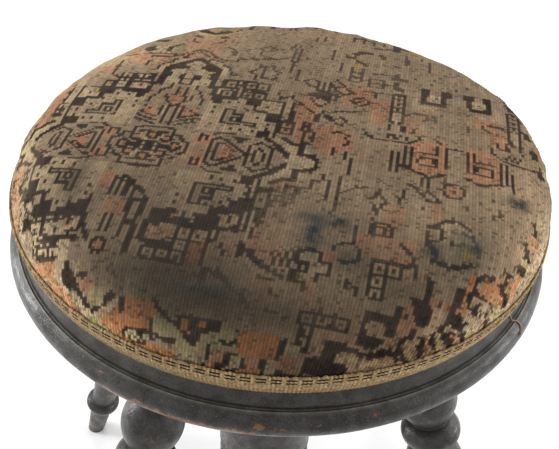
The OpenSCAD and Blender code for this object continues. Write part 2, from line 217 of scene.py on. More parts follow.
# The selvedge's weave
BAND_THREAD, BAND_ROW = 1.1 * MM, 1.2 * MM
BAND_RELIEF, BAND_CORD = 0.10 * MM, 0.22 * MM
STITCH_ROWS = (1, 3)
STITCH_PITCH, STITCH_LENGTH = 7, 5

# The seat board: its boss, the steps round its nose, the angles its quirk turns through and the
# half width of the dust and painted highlight in it
BOSS_WALL = 8 * MM
NOSE_STEPS = 30
QUIRK_TURN = (-12, -205)
QUIRK_DUST_AND_HIGHLIGHT = 0.8 * MM

# Where its edge is rubbed, in degrees round it and up its nose with the half widths, and its
# chips by heading, height and size
RUBBED, RUBBED_WIDE = -117, 17
RUBBED_UP, RUBBED_TALL = -24, 26
CHIPS = ((-102, 20, 5.5), (-98, 14, 3), (-92, 24, 3.5), (-82, 34, 2), (-124, 4, 3.5), (-132, 40, 2))
CHIP_STRETCH, CHIP_SQUASH, CHIP_WORN = 3, 2.5, 0.62

# The loose thread: thickness, headings from the selvedge on, the angles it takes over the nose
# and its sides
THREAD_THICK = 0.8 * MM
THREAD_HEADINGS = (-46.6, -45.2, -44.5, -44.2, -44.4, -44.9, -45.8)
THREAD_OVER = (78, 18)
THREAD_ROUND = 8

# The seat screw's steps in a turn, and the slices a turning is spun in
THREAD_SIDES = 48
SLICES = 8
LEG_NODES = ("leg_back_right", "leg_back_left", "leg_front_left", "leg_front_right")

# The studio: each lamp's name, size, power and place, all aimed at one point
AIM = (0, 0, 0.4)
LAMPS = (
    ("key", (1.2, 1.0), 17, (-1.5, 0.7, 1.5)),
    ("fill", (1.2, 1.0), 12, (1.6, 0.5, 1.4)),
    ("back", (1.6, 0.8), 16, (0, 1.9, 1.7)),
    ("glint_left", (0.5, 0.16), 13, (-1.6, 0.62, 0.58)),
    ("glint_right", (0.26, 0.14), 6, (1.72, -0.12, 0.55)),
    ("side_left", (0.5, 0.4), 2, (-1.5, -0.6, 0.7)),
    ("side_right", (0.5, 0.4), 4, (1.5, -0.7, 0.7)),
)
FLOOR_HALF = 6
SURROUNDINGS, BACKDROP = 0.5, 1.0

# Heights that come from the frame
BOARD_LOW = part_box("seat_board")[0][2]
BOARD_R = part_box("seat_board")[1][0]
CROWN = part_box("seat_cover")[1][2]
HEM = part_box("seat_cover")[0][2]
COVER_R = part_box("seat_cover")[1][0]
PLATFORM_LOW, PLATFORM_TOP = (corner[2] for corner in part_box("platform"))
COLUMN_LOW, SPIGOT_TOP = (corner[2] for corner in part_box("column"))


def length(name, text, value, low=0.0, high=1.0):
    """A length setting in metres."""
    return FloatProperty(
        name=name, description=text, default=value, min=low, max=high, unit="LENGTH", precision=4
    )


def turn(name, text, degrees):
    """An angle setting, given here in degrees."""
    return FloatProperty(name=name, description=text, default=math.radians(degrees), unit="ROTATION")


def colour(name, text, value):
    """A colour setting, linear red, green and blue."""
    return FloatVectorProperty(
        name=name, description=text, default=value, size=3, min=0, max=1, subtype="COLOR"
    )


class STOOL_PG_seat(PropertyGroup):
    """Sizes of the seat's cushion and rim."""

    bulge: length("Bulge height", "Widest part above the board's underside", 48 * MM)
    shoulder: length("Shoulder", "Radius of the cushion's shoulder", 30 * MM)
    cover: length("Cover", "Thickness of the carpet", 2.5 * MM)
    lining: length("Lining", "Thickness of the calico", 1 * MM)
    band_width: length("Selvedge width", "Width of the woven edge band", 20.7 * MM)
    band_thick: length("Selvedge thickness", "Thickness of the woven edge band", 1.1 * MM)
    nose: length("Nose", "Radius of the rim's round edge", 10 * MM)
    board: length("Board", "Thickness of the seat board", 34 * MM)
    ledge_in: length("Ledge", "Set-in of the cover's edge from the rim", 11.2 * MM)
    quirk_in: length("Quirk place", "Set-in of the groove from the rim", 7.6 * MM)
    quirk_width: length("Quirk width", "Width of the groove", 2.6 * MM)


class STOOL_PG_stand(PropertyGroup):
    """Sizes of the turned stand."""

    platform: length("Platform", "Diameter of the platform", 284 * MM)
    column: length("Column", "Diameter of the column's drum", 78.4 * MM)
    column_top: length("Column shoulder", "Diameter under the platform", 112 * MM)
    bore: length("Bore", "Diameter of the column's bore", 50 * MM)
    spigot: length("Spigot", "Diameter of the column's spigot", 72 * MM)
    finial: length("Finial", "Length of the drop finial", 52 * MM)
    finial_ball: length("Finial ball", "Diameter of the finial's ball", 50 * MM)
    spread: length("Leg spread", "Stand's middle to a leg's foot", 234.5 * MM)
    splay: turn("Leg splay", "Lean of a leg from upright", 16.5)
    tenon: length("Tenon", "Diameter of a leg's tenon", 26 * MM)


class STOOL_PG_leg(PropertyGroup):
    """Sizes of a leg's turnings, from the floor up."""

    peg: length("Peg", "Diameter of the foot at the floor", 17.6 * MM)
    ankle: length("Ankle", "Diameter under the ankle ring", 23.6 * MM)
    ring: length("Ring", "Diameter of the ankle ring", 35 * MM)
    ring_thick: length("Ring thickness", "Thickness of the ankle ring", 14.6 * MM)
    ring_at: length("Ring height", "Ankle ring's middle, along the leg", 65 * MM)
    shank_low: length("Lower shank", "Diameter above the ankle ring", 24.4 * MM)
    shank_top: length("Upper shank", "Diameter at the shank's top", 30 * MM)
    shank: length("Shank", "Length of the plain shank", 92 * MM)
    reel: length("Reel", "Length of the reel on the shank", 8 * MM)
    ball: length("Balls", "Diameter of the balls", 42 * MM)
    neck: length("Necks", "Diameter between the turnings", 24 * MM)
    collar: length("Collar", "Diameter under the platform", 35 * MM)


class STOOL_PG_thread(PropertyGroup):
    """Sizes of the seat's screw."""

    pitch: length("Pitch", "Rise of the seat in one turn", 8 * MM)
    outer: length("Diameter", "Diameter over the thread", 28 * MM)
    depth: length("Depth", "Depth of the thread", 2.4 * MM)
    low_spigot: length("Lower spigot", "Diameter in the stop", 16 * MM)
    top_spigot: length("Upper spigot", "Diameter in the seat plate", 22 * MM)


class STOOL_PG_finish(PropertyGroup):
    """Colours of the finishes."""

    black: colour("Ebonised black", "Stained and polished wood", (0.012, 0.0105, 0.010))
    brown: colour("Worn brown", "Wood where the black has rubbed off", (0.25, 0.095, 0.030))
    ground: colour("Ground", "The carpet's worn taupe ground", (0.235, 0.172, 0.110))
    salmon: colour("Salmon", "The carpet's faded terracotta", (0.315, 0.155, 0.088))
    dark: colour("Aubergine", "The carpet's dark outlines", (0.021, 0.0145, 0.0135))
    cream: colour("Cream", "The carpet's pale figures", (0.350, 0.262, 0.160))
    sage: colour("Sage", "The carpet's dull green", (0.275, 0.232, 0.115))
    mustard: colour("Mustard", "The carpet's yellow specks", (0.36, 0.21, 0.06))
    teal: colour("Teal", "Blue snags in the pile", (0.027, 0.045, 0.050))
    orange: colour("Orange", "Unworn pile near the front", (0.330, 0.130, 0.050))
    # Soot darkens the soiled patches, which are partly painted shade
    soot_and_shade: colour("Soot", "Charcoal grey dirt", (0.048, 0.040, 0.033))
    selvedge: colour("Selvedge", "The woven edge band", (0.420, 0.290, 0.145))
    iron: colour("Iron", "Blackened cast iron", (0.045, 0.040, 0.037))
    rust: colour("Rust", "Rust on the iron", (0.16, 0.052, 0.018))
    leather: colour("Leather", "The buffer washer", (0.17, 0.068, 0.026))
    floor: colour("Floor", "The pale floor", (0.93, 0.93, 0.93))


class STOOL_PG_camera(PropertyGroup):
    """Where the camera stands and how it is turned."""

    distance: length("Distance", "From the middle of the seat's rim", 550.8 * MM, 0.1, 5)
    rise: turn("Rise", "Above the horizon", 39.01)
    round_by: turn("Round", "Camera's heading round the stool", -11.26)
    pan: turn("Pan", "Turn sideways", 0.0714)
    tilt: turn("Tilt", "Turn up", 0.566)
    roll: turn("Roll", "Turn about the line of sight", -3.838)
    focal: FloatProperty(name="Focal length", description="In millimetres", default=51.52)


class STOOL_PG_stool(PropertyGroup):
    """All the stool's settings."""

    seat: PointerProperty(type=STOOL_PG_seat)
    stand: PointerProperty(type=STOOL_PG_stand)
    leg: PointerProperty(type=STOOL_PG_leg)
    thread: PointerProperty(type=STOOL_PG_thread)
    finish: PointerProperty(type=STOOL_PG_finish)
    view: PointerProperty(type=STOOL_PG_camera)


# Materials


class Recipe:
    """A material's nodes, added one at a time."""

    def __init__(self, name):
        self.material = bpy.data.materials.new(name)
        self.material.use_nodes = True
        self.tree = self.material.node_tree
        self.tree.nodes.clear()
        self.shader = self.node("ShaderNodeBsdfPrincipled")
        output = self.node("ShaderNodeOutputMaterial")
        self.tree.links.new(self.shader.outputs["BSDF"], output.inputs["Surface"])

    def node(self, kind, inputs=(), **settings):
        """A node with its settings made and its inputs set or linked."""
        made = self.tree.nodes.new(kind)
        for name, value in settings.items():
            setattr(made, name, value)
        for key, value in dict(inputs).items():
            if isinstance(value, bpy.types.NodeSocket):
                self.tree.links.new(value, made.inputs[key])
            else:
                made.inputs[key].default_value = value
        return made

    def attribute(self, name):
        """A stored attribute of the mesh."""
        return self.node("ShaderNodeAttribute", attribute_name=name)

    def place(self, stretch=(1, 1, 1), source=None):
        """Object coordinates, or another vector, scaled on each axis."""
        vector = source or self.node("ShaderNodeTexCoord").outputs["Object"]
        return self.node("ShaderNodeMapping", {"Vector": vector, "Scale": stretch}).outputs[0]

    def cloud(self, scale, detail=4.0, roughness=0.55, vector=None):
        """Soft noise from 0 to 1."""
        inputs = {"Scale": scale, "Detail": detail, "Roughness": roughness}
        inputs["Vector"] = vector or self.place()
        return self.node("ShaderNodeTexNoise", inputs).outputs["Fac"]

    def between(self, value, low, high, to_low=0.0, to_high=1.0):
        """Value stretched from one range to another, and clamped."""
        inputs = {0: value, 1: low, 2: high, 3: to_low, 4: to_high}
        return self.node("ShaderNodeMapRange", inputs).outputs[0]

    def spread(self, value, much):
        """Soft noise stretched to run from less to more than nothing."""
        return self.between(value, 0.3, 0.7, -much, much)

    def sum(self, operation, first, second):
        """Two values worked together."""
        return self.node("ShaderNodeMath", {0: first, 1: second}, operation=operation).outputs[0]

    def mix(self, amount, first, second, how="MIX"):
        """Two colours laid over each other."""
        inputs = {"Factor": amount, "A": first, "B": second}
        made = self.tree.nodes.new("ShaderNodeMix")
        made.data_type = "RGBA"
        made.blend_type = how
        sockets = {"Factor": 0, "A": 6, "B": 7}
        for key, value in inputs.items():
            socket = made.inputs[sockets[key]]
            if isinstance(value, bpy.types.NodeSocket):
                self.tree.links.new(value, socket)
            elif key == "Factor":
                socket.default_value = value
            else:
                socket.default_value = (*value[:3], 1)
        return made.outputs[2]

    def bump(self, height, depth, under=None):
        """Relief of some depth in metres, over any other relief."""
        inputs = {"Height": height, "Distance": depth, "Strength": 1.0}
        if under:
            inputs["Normal"] = under
        return self.node("ShaderNodeBump", inputs).outputs[0]

    def finish(self, **values):
        """Sets or links the shader's sockets and returns the material."""
        for name, value in values.items():
            socket = self.shader.inputs[name.replace("_", " ")]
            if isinstance(value, bpy.types.NodeSocket):
                self.tree.links.new(value, socket)
            elif socket.type == "RGBA":
                socket.default_value = (*value[:3], 1)
            else:
                socket.default_value = value
        return self.material


def ebonised_wood(finish):
    """Black stained and polished wood, rubbed brown where the mesh says it is worn, and grey with
    dust in its grooves, with a painted highlight at the seat board's quirk."""
    faded, filler = (0.018, 0.016, 0.014), (0.075, 0.067, 0.056)
    # The dust's grey also paints a highlight at the seat board's quirk
    dust, grit = (0.15, 0.135, 0.112), (0.22, 0.19, 0.15)
    r = Recipe("ebonised_wood")
    lathe = r.attribute("lathe").outputs["Vector"]
    worn = r.attribute("worn").outputs["Fac"]
    dust_and_highlight = r.attribute("dust_and_highlight").outputs["Fac"]
    grain = r.cloud(60, 6, 0.6, r.place((1, 1, 0.06), lathe))
    blotch = r.cloud(28, 5, 0.6)
    smear = r.cloud(110, 4, 0.65)
    flecks = r.cloud(900, 2, 0.5)
    pores = r.cloud(1500, 4, 0.75)
    tool = r.cloud(1, 2, 0.5, r.place((8, 8, 900), lathe))
    ragged = r.sum("ADD", r.spread(blotch, 0.2), r.spread(smear, 0.2))
    ragged = r.sum("ADD", ragged, r.spread(r.cloud(420, 3, 0.6), 0.26))
    rubbed = r.between(r.sum("ADD", worn, ragged), 0.46, 0.58)
    specks = r.between(flecks, 0.68, 0.75)
    wood = r.mix(grain, tuple(0.45 * c for c in finish.brown), finish.brown)
    black = r.mix(r.between(blotch, 0.35, 0.75), finish.black, faded)
    black = r.mix(r.between(pores, 0.46, 0.70, 0.0, 0.62), black, filler)
    base = r.mix(rubbed, black, wood)
    # A grey film where the mesh marks dust, which at the quirk's lip is a painted highlight
    film = r.sum("MULTIPLY", dust_and_highlight, r.between(smear, 0.3, 0.6, 0.35, 1.0))
    base = r.mix(film, base, dust)
    base = r.mix(r.sum("MULTIPLY", specks, 0.4), base, grit)
    dull = r.between(r.sum("ADD", blotch, r.spread(grain, 0.1)), 0.3, 0.75, 0.36, 0.58)
    gloss = r.between(r.sum("ADD", smear, r.spread(pores, 0.2)), 0.35, 0.65, 0.1, 0.7)
    relief = r.bump(grain, 0.0003)
    relief = r.bump(tool, 0.00006, relief)
    relief = r.bump(flecks, 0.00020, relief)
    relief = r.bump(pores, 0.00012, relief)
    return r.finish(
        Base_Color=base,
        Roughness=dull,
        Normal=relief,
        Specular_IOR_Level=0.20,
        Coat_Weight=gloss,
        Coat_Roughness=0.22,
        Coat_Normal=relief,
    )


def carpet_pile():
    """Worn wool pile: the knots' colours with fibre, fading and relief over them."""
    r = Recipe("worn_carpet")
    knot = r.attribute("knot").outputs["Color"]
    bare = r.attribute("bare").outputs["Fac"]
    fibre = r.cloud(1400, 3, 0.6)
    patch = r.cloud(45, 5, 0.6)
    tone = r.mix(r.between(fibre, 0.25, 0.75), (0.66, 0.66, 0.66), (1.22, 1.22, 1.22))
    base = r.mix(1.0, knot, tone, "MULTIPLY")
    shade = r.mix(r.between(patch, 0.3, 0.7), (0.88, 0.88, 0.88), (1.10, 1.09, 1.06))
    base = r.mix(1.0, base, shade, "MULTIPLY")
    pile = r.sum("MULTIPLY", fibre, r.between(bare, 0, 1, 1.0, 0.45))
    relief = r.bump(pile, 0.0005)
    return r.finish(
        Base_Color=base,
        Roughness=0.95,
        Normal=relief,
        Specular_IOR_Level=0.05,
    )


def woven_selvedge():
    """Coarse flax weave with a double row of dark stitches."""
    r = Recipe("woven_selvedge")
    knot = r.attribute("knot").outputs["Color"]
    fibre = r.cloud(1500, 3, 0.6)
    tone = r.mix(r.between(fibre, 0.25, 0.75), (0.62, 0.62, 0.62), (1.25, 1.25, 1.25))
    base = r.mix(1.0, knot, tone, "MULTIPLY")
    relief = r.bump(fibre, 0.0004)
    return r.finish(Base_Color=base, Roughness=0.9, Normal=relief, Specular_IOR_Level=0.2)


def plain_cloth(name, shade, weave):
    """Hidden calico or hair: a woven or matted cloth of one shade."""
    r = Recipe(name)
    threads = r.cloud(weave, 3, 0.6)
    base = r.mix(r.between(threads, 0.3, 0.7), tuple(0.55 * c for c in shade), shade)
    return r.finish(Base_Color=base, Roughness=0.95, Normal=r.bump(threads, 0.0004))


def old_iron(finish, name, bright=0.0):
    """Blackened iron with rust in patches, brighter where it is rubbed."""
    r = Recipe(name)
    patch = r.cloud(70, 6, 0.65)
    grit = r.cloud(700, 4, 0.6)
    rust = r.between(r.sum("ADD", patch, r.spread(grit, 0.08)), 0.54, 0.68)
    metal = tuple(c + bright for c in finish.iron)
    base = r.mix(rust, metal, finish.rust)
    return r.finish(
        Base_Color=base,
        Metallic=r.between(rust, 0, 1, 0.85, 0.1),
        Roughness=r.between(rust, 0, 1, 0.42, 0.85),
        Normal=r.bump(grit, 0.00015),
    )


def buffer_leather(finish):
    """Thick brown leather, darkened by oil."""
    r = Recipe("buffer_leather")
    pores = r.node("ShaderNodeTexVoronoi", {"Vector": r.place(), "Scale": 900.0}).outputs[0]
    oil = r.cloud(60, 4, 0.6)
    base = r.mix(r.between(oil, 0.35, 0.65), finish.leather, tuple(0.3 * c for c in finish.leather))
    return r.finish(Base_Color=base, Roughness=0.6, Normal=r.bump(pores, 0.0002))


def bare_wood():
    """Pale end grain and wedges where the tenons come through."""
    r = Recipe("wedge_wood")
    rings = r.cloud(120, 5, 0.6, r.place((1, 1, 0.1)))
    base = r.mix(r.between(rings, 0.3, 0.7), (0.115, 0.060, 0.028), (0.24, 0.145, 0.075))
    return r.finish(Base_Color=base, Roughness=0.7, Normal=r.bump(rings, 0.0002))


# Turned shapes


def straight(low, high, low_r, high_r):
    """A plain or tapered length of a turned profile."""
    return [(low_r, low), (high_r, high)]


def swelling(low, high, end_r, mid_r, steps=40):
    """An arc between two equal ends: a bead, or a hollow where the middle is thinner."""
    chord, rise = high - low, abs(mid_r - end_r)
    arc_r = (chord * chord / 4 + rise * rise) / (2 * rise)
    half = 2 * math.atan(2 * rise / chord)
    side = -1 if mid_r < end_r else 1
    angles = [half * (2 * i / steps - 1) for i in range(steps + 1)]
    return [
        (mid_r - side * arc_r * (1 - math.cos(a)), (low + high) / 2 + arc_r * math.sin(a))
        for a in angles
    ]


def stacked(turnings, start=0.0):
    """Turnings one on another: each gives its length, its kind and its two radii."""
    points = []
    for tall, kind, first, second in turnings:
        points += kind(start, start + tall, first, second)
        start += tall
    return points


def walked(points, step):
    """The same line with points at even steps, and its corners kept."""
    line = [points[0]]
    for (r0, z0), (r1, z1) in zip(points, points[1:]):
        count = max(1, round(math.dist((r0, z0), (r1, z1)) / step))
        for k in range(1, count + 1):
            part = k / count
            line.append((r0 + (r1 - r0) * part, z0 + (z1 - z0) * part))
    return [p for k, p in enumerate(line) if k == 0 or math.dist(p, line[k - 1]) > 1e-6]


def softened(points, rounds=3):
    """The line with its corners rubbed round, its two ends kept."""
    for _ in range(rounds):
        inner = [
            tuple((a + 2 * b + c) / 4 for a, b, c in zip(before, here, after))
            for before, here, after in zip(points, points[1:], points[2:])
        ]
        points = [points[0], *inner, points[-1]]
    return points


def spun(points, sides, closed=False):
    """A bmesh of points of radius and height spun round the Z axis into a skin. One slice is
    spun and then repeated, which is far quicker than all of it at once."""
    bm = bmesh.new()
    verts = [bm.verts.new((r, 0, z)) for r, z in points]
    edges = [bm.edges.new(pair) for pair in zip(verts, verts[1:])]
    if closed:
        edges.append(bm.edges.new((verts[-1], verts[0])))
    slice_turn = 2 * math.pi / SLICES
    bmesh.ops.spin(bm, geom=verts + edges, angle=slice_turn, steps=sides // SLICES, **ROUND_Z)
    bmesh.ops.spin(
        bm,
        geom=bm.verts[:] + bm.edges[:] + bm.faces[:],
        angle=slice_turn * (SLICES - 1),
        steps=SLICES - 1,
        use_duplicate=True,
        **ROUND_Z,
    )
    bmesh.ops.remove_doubles(bm, verts=bm.verts, dist=2e-6)
    bmesh.ops.recalc_face_normals(bm, faces=bm.faces)
    return bm


def weathered(bm, wear, dent=0.15 * MM, dent_scale=45.0):
    """Notes where each point was on the lathe, how worn it is and how pale with dust and painted
    highlight, and dents the skin a little."""
    lathe = bm.verts.layers.float_vector.new("lathe")
    worn = bm.verts.layers.float.new("worn")
    dust_and_highlight = bm.verts.layers.float.new("dust_and_highlight")
    for vert in bm.verts:
        vert[lathe] = vert.co
        vert[worn], vert[dust_and_highlight] = wear(vert.co)
    moves = [
        (v, v.normal * dent * noise.noise(v.co * dent_scale + Vector((SEED, 0, 0))))
        for v in bm.verts
    ]
    for vert, move in moves:
        vert.co += move
    return bm


def finished(bm, name, material, smooth=True):
    """The bmesh as an object that stands where its points are."""
    mesh = bpy.data.meshes.new(name)
    bm.to_mesh(mesh)
    bm.free()
    mesh.shade_smooth() if smooth else mesh.shade_flat()
    mesh.materials.append(material)
    piece = bpy.data.objects.new(name, mesh)
    bpy.context.scene.collection.objects.link(piece)
    return piece


def cut_level(bm, height, keep_above):
    """Cuts the skin at a height and closes the cut."""
    everything = bm.verts[:] + bm.edges[:] + bm.faces[:]
    cut = bmesh.ops.bisect_plane(
        bm,
        geom=everything,
        plane_co=(0, 0, height),
        plane_no=(0, 0, 1),
        clear_inner=keep_above,
        clear_outer=not keep_above,
    )
    edges = [e for e in cut["geom_cut"] if isinstance(e, bmesh.types.BMEdge)]
    bmesh.ops.contextual_create(bm, geom=edges)


def arc(x, z, radius, first, last, steps):
    """Points on an arc about a middle, from one angle to another."""
    angles = (first + (last - first) * i / steps for i in range(steps + 1))
    return [(x + radius * math.cos(a), z + radius * math.sin(a)) for a in angles]


def gauss(distance, width):
    """1 at no distance, falling to 0 beyond a width."""
    return math.exp(-((distance / width) ** 2))


# Seat


def cushion_line(seat, depth=0.0):
    """The cushion's profile, some depth inside its outside, from crown to hem: its arcs."""
    shoulder_x = COVER_R - seat.shoulder
    bulge_z = BOARD_LOW + seat.bulge
    rise = CROWN - bulge_z
    crown_r = (shoulder_x**2 + rise**2 - seat.shoulder**2) / (2 * (rise - seat.shoulder))
    lean = math.asin(shoulder_x / (crown_r - seat.shoulder))
    return shoulder_x, bulge_z, crown_r, lean, crown_r - depth, seat.shoulder - depth


def cushion_point(seat, along, depth=0.0):
    """Radius and height at an arc length from the crown, measured on the outside."""
    shoulder_x, bulge_z, crown_r, lean, crown_arc, shoulder_arc = cushion_line(seat, depth)
    if along < crown_r * lean:
        a = along / crown_r
        return crown_arc * math.sin(a), CROWN - crown_r + crown_arc * math.cos(a)
    a = math.pi / 2 - lean - (along - crown_r * lean) / seat.shoulder
    return shoulder_x + shoulder_arc * math.cos(a), bulge_z + shoulder_arc * math.sin(a)


def hem_length(seat):
    """Arc length from the crown to the cover's lower edge."""
    shoulder_x, bulge_z, crown_r, lean, _, shoulder_arc = cushion_line(seat)
    below = math.asin((bulge_z - HEM) / shoulder_arc)
    return crown_r * lean + seat.shoulder * (math.pi / 2 - lean + below)


def cushion_profile(seat, depth, step=3 * MM):
    """The cushion's profile from the crown's middle down to the hem, some depth inside."""
    end = hem_length(seat)
    count = round(end / step)
    return [cushion_point(seat, end * i / count, depth) for i in range(count + 1)]


def nose_middle(seat):
    """Radius and height of the middle of the rim's round nose."""
    return BOARD_R - seat.nose, BOARD_LOW + seat.nose


def board_profile(seat):
    """The seat board's outline in three parts: the boss recess and underside, the round nose
    with its quirk and raised edge, and what the cover hides."""
    boss_low, boss_top = BOARD_LOW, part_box("seat_plate")[1][2]
    boss_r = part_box("seat_screw")[1][0] + BOSS_WALL
    nose_x, nose_z = nose_middle(seat)
    nose_end = math.acos((seat.nose - seat.quirk_in) / seat.nose)
    quirk_r = seat.quirk_width / 2
    quirk_x = nose_x + seat.nose * math.cos(nose_end) + quirk_r / 2
    quirk_z = nose_z + seat.nose * math.sin(nose_end)
    quirk_from, quirk_to = (math.radians(a) for a in QUIRK_TURN)
    nose_stop = nose_end - quirk_r / seat.nose / 2
    nose = arc(nose_x, nose_z, seat.nose, -math.pi / 2, nose_stop, NOSE_STEPS)
    quirk = arc(quirk_x, quirk_z, quirk_r, quirk_from, quirk_to, NOSE_STEPS)
    top = BOARD_LOW + seat.board
    inside = cushion_profile(seat, seat.cover + seat.lining, MM)
    side = [p for p in reversed(inside) if p[1] < top]
    hidden = [(0, boss_top), (boss_r, boss_top), (boss_r, boss_low)]
    hidden.append((nose_x - seat.nose, BOARD_LOW))
    shown = nose + quirk + [(BOARD_R - seat.ledge_in, HEM), side[0]]
    return hidden, shown, [*side[1:], (side[-1][0], top), (0, top)]


def board_wear(seat, point):
    """How worn and how pale the seat board is at a point: rubbed and chipped at its lower
    edge, with dust on the ledge inside its quirk, and dust and a painted highlight at the quirk's
    lip."""
    nose_x, nose_z = nose_middle(seat)
    quirk_x = BOARD_R - seat.quirk_in
    out = math.hypot(point.x, point.y)
    if out < nose_x - seat.nose:
        return 0.1, 0
    up = math.degrees(math.atan2(point.z - nose_z, out - nose_x))
    heading = math.degrees(math.atan2(point.y, point.x))
    low_edge = gauss(up - RUBBED_UP, RUBBED_TALL) if out > nose_x else 0
    side = gauss((heading - RUBBED + 180) % 360 - 180, RUBBED_WIDE)
    worn = 0.08 + low_edge * (0.10 + 0.80 * side)
    for chip_heading, chip_up, size in CHIPS:
        far = math.hypot((heading - chip_heading) * CHIP_STRETCH, (up - chip_up) / CHIP_SQUASH)
        worn += CHIP_WORN * gauss(far, size)
    # Dust and a painted highlight lighten the quirk's outer lip, on the nose's inner shoulder
    near_quirk = abs(out - quirk_x - seat.quirk_width * 0.62) if point.z > nose_z else 1
    ledge = 0.14 if out < quirk_x and point.z > nose_z else 0.03
    return worn, 0.9 * gauss(near_quirk, QUIRK_DUST_AND_HIGHLIGHT) + ledge


class STOOL_OT_seat_board(Operator):
    """Turns the seat board with its round nose, quirk and rubbed lower edge"""

    bl_idname = "stool.seat_board"
    bl_label = "Seat board"

    def execute(self, context):
        seat = context.scene.stool.seat
        hidden, shown, above = board_profile(seat)
        shown = softened(walked(shown, FINE), 3)
        line = softened(walked(hidden, COARSE) + shown + walked(above, COARSE), 2)
        bm = weathered(spun(line, 384), functools.partial(board_wear, seat))
        piece = finished(bm, "turned_seat_board", ebonised_wood(context.scene.stool.finish))
        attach(piece, "seat")
        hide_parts("seat_board")
        return {"FINISHED"}


class Carpet:
    """The knots of a figured carpet, each with the number of its wool, drawn in millimetres
    right of and away from the seat's middle, along the carpet's own ribs and rows."""

    def __init__(self, rib, row, reach):
        self.rib, self.row = rib, row
        self.columns = 2 * round(reach / rib)
        self.rows = 2 * round(reach / row)
        across = (np.arange(self.columns) + 0.5 - self.columns / 2) * rib
        away = (np.arange(self.rows) + 0.5 - self.rows / 2) * row
        self.p, self.q = np.meshgrid(across, away)
        self.wool = np.full(self.p.shape, GROUND)
        self.mirror()

    def mirror(self, *places):
        """Repeats what is drawn next: each place has a middle and the ways it faces, 1 or -1."""
        self.frames = places or ((0, 0, 1, 1),)

    def fill(self, wool, holds):
        """Gives a wool to the knots for which the test holds, in every mirrored place."""
        for p, q, way_p, way_q in self.frames:
            self.wool[holds((self.p - p) * way_p, (self.q - q) * way_q)] = wool

    def box(self, wool, *boxes):
        """Fills rectangles, each by its left, right, low and high."""
        for left, right, low, high in boxes:
            self.fill(wool, lambda x, y: (x > left) & (x < right) & (y > low) & (y < high))

    def oval(self, wool, *ovals):
        """Fills ovals, each by its middle and two half widths."""
        for p, q, wide, tall in ovals:
            self.fill(wool, lambda x, y: ((x - p) / wide) ** 2 + ((y - q) / tall) ** 2 < 1)

    def area(self, wool, *areas):
        """Fills figures with straight sides, each by its corners."""
        for corners in areas:
            self.fill(wool, functools.partial(inside, corners))

    def line(self, wool, width, *lines):
        """Draws lines through points, at least one knot wide."""
        for points in lines:
            self.fill(wool, functools.partial(beside, points, max(width, self.rib) / 2))

    def loop(self, wool, width, *loops):
        """Draws closed lines through points."""
        self.line(wool, width, *((*points, points[0]) for points in loops))

    def thin(self, *lines):
        """Draws the thin dark lines that most figures are made of."""
        self.line(DARK, THIN, *lines)

    def thin_loop(self, *loops):
        """Draws thin dark closed lines."""
        self.loop(DARK, THIN, *loops)

    def frame(self, wool, left, right, low, high, width=THIN):
        """Draws a rectangle's outline."""
        self.loop(wool, width, ((left, low), (right, low), (right, high), (left, high)))

    def dots(self, wool, *points):
        """Sets single knots, two rows tall."""
        wide, tall = DOT
        self.box(wool, *((p - wide, p + wide, q - tall, q + tall) for p, q in points))

    def cell(self, left, right, low, high, wool=CREAM):
        """Draws one box of a chain: an outline round a pale field with a dark dot."""
        self.box(wool, (left, right, low, high))
        self.frame(DARK, left, right, low, high)
        self.dots(DARK, ((left + right) / 2, (low + high) / 2))


def inside(corners, x, y):
    """Whether places lie inside a figure with straight sides."""
    odd = np.zeros(x.shape, bool)
    for (ax, ay), (bx, by) in zip(corners, corners[1:] + corners[:1]):
        if ay != by:
            odd ^= ((ay > y) != (by > y)) & (x < (bx - ax) * (y - ay) / (by - ay) + ax)
    return odd


def beside(points, reach, x, y):
    """Whether places lie within reach of a line through points."""
    found = np.zeros(x.shape, bool)
    for (ax, ay), (bx, by) in zip(points, points[1:]):
        run_x, run_y = bx - ax, by - ay
        part = np.clip(((x - ax) * run_x + (y - ay) * run_y) / (run_x**2 + run_y**2), 0, 1)
        found |= np.hypot(x - ax - part * run_x, y - ay - part * run_y) <= reach
    return found


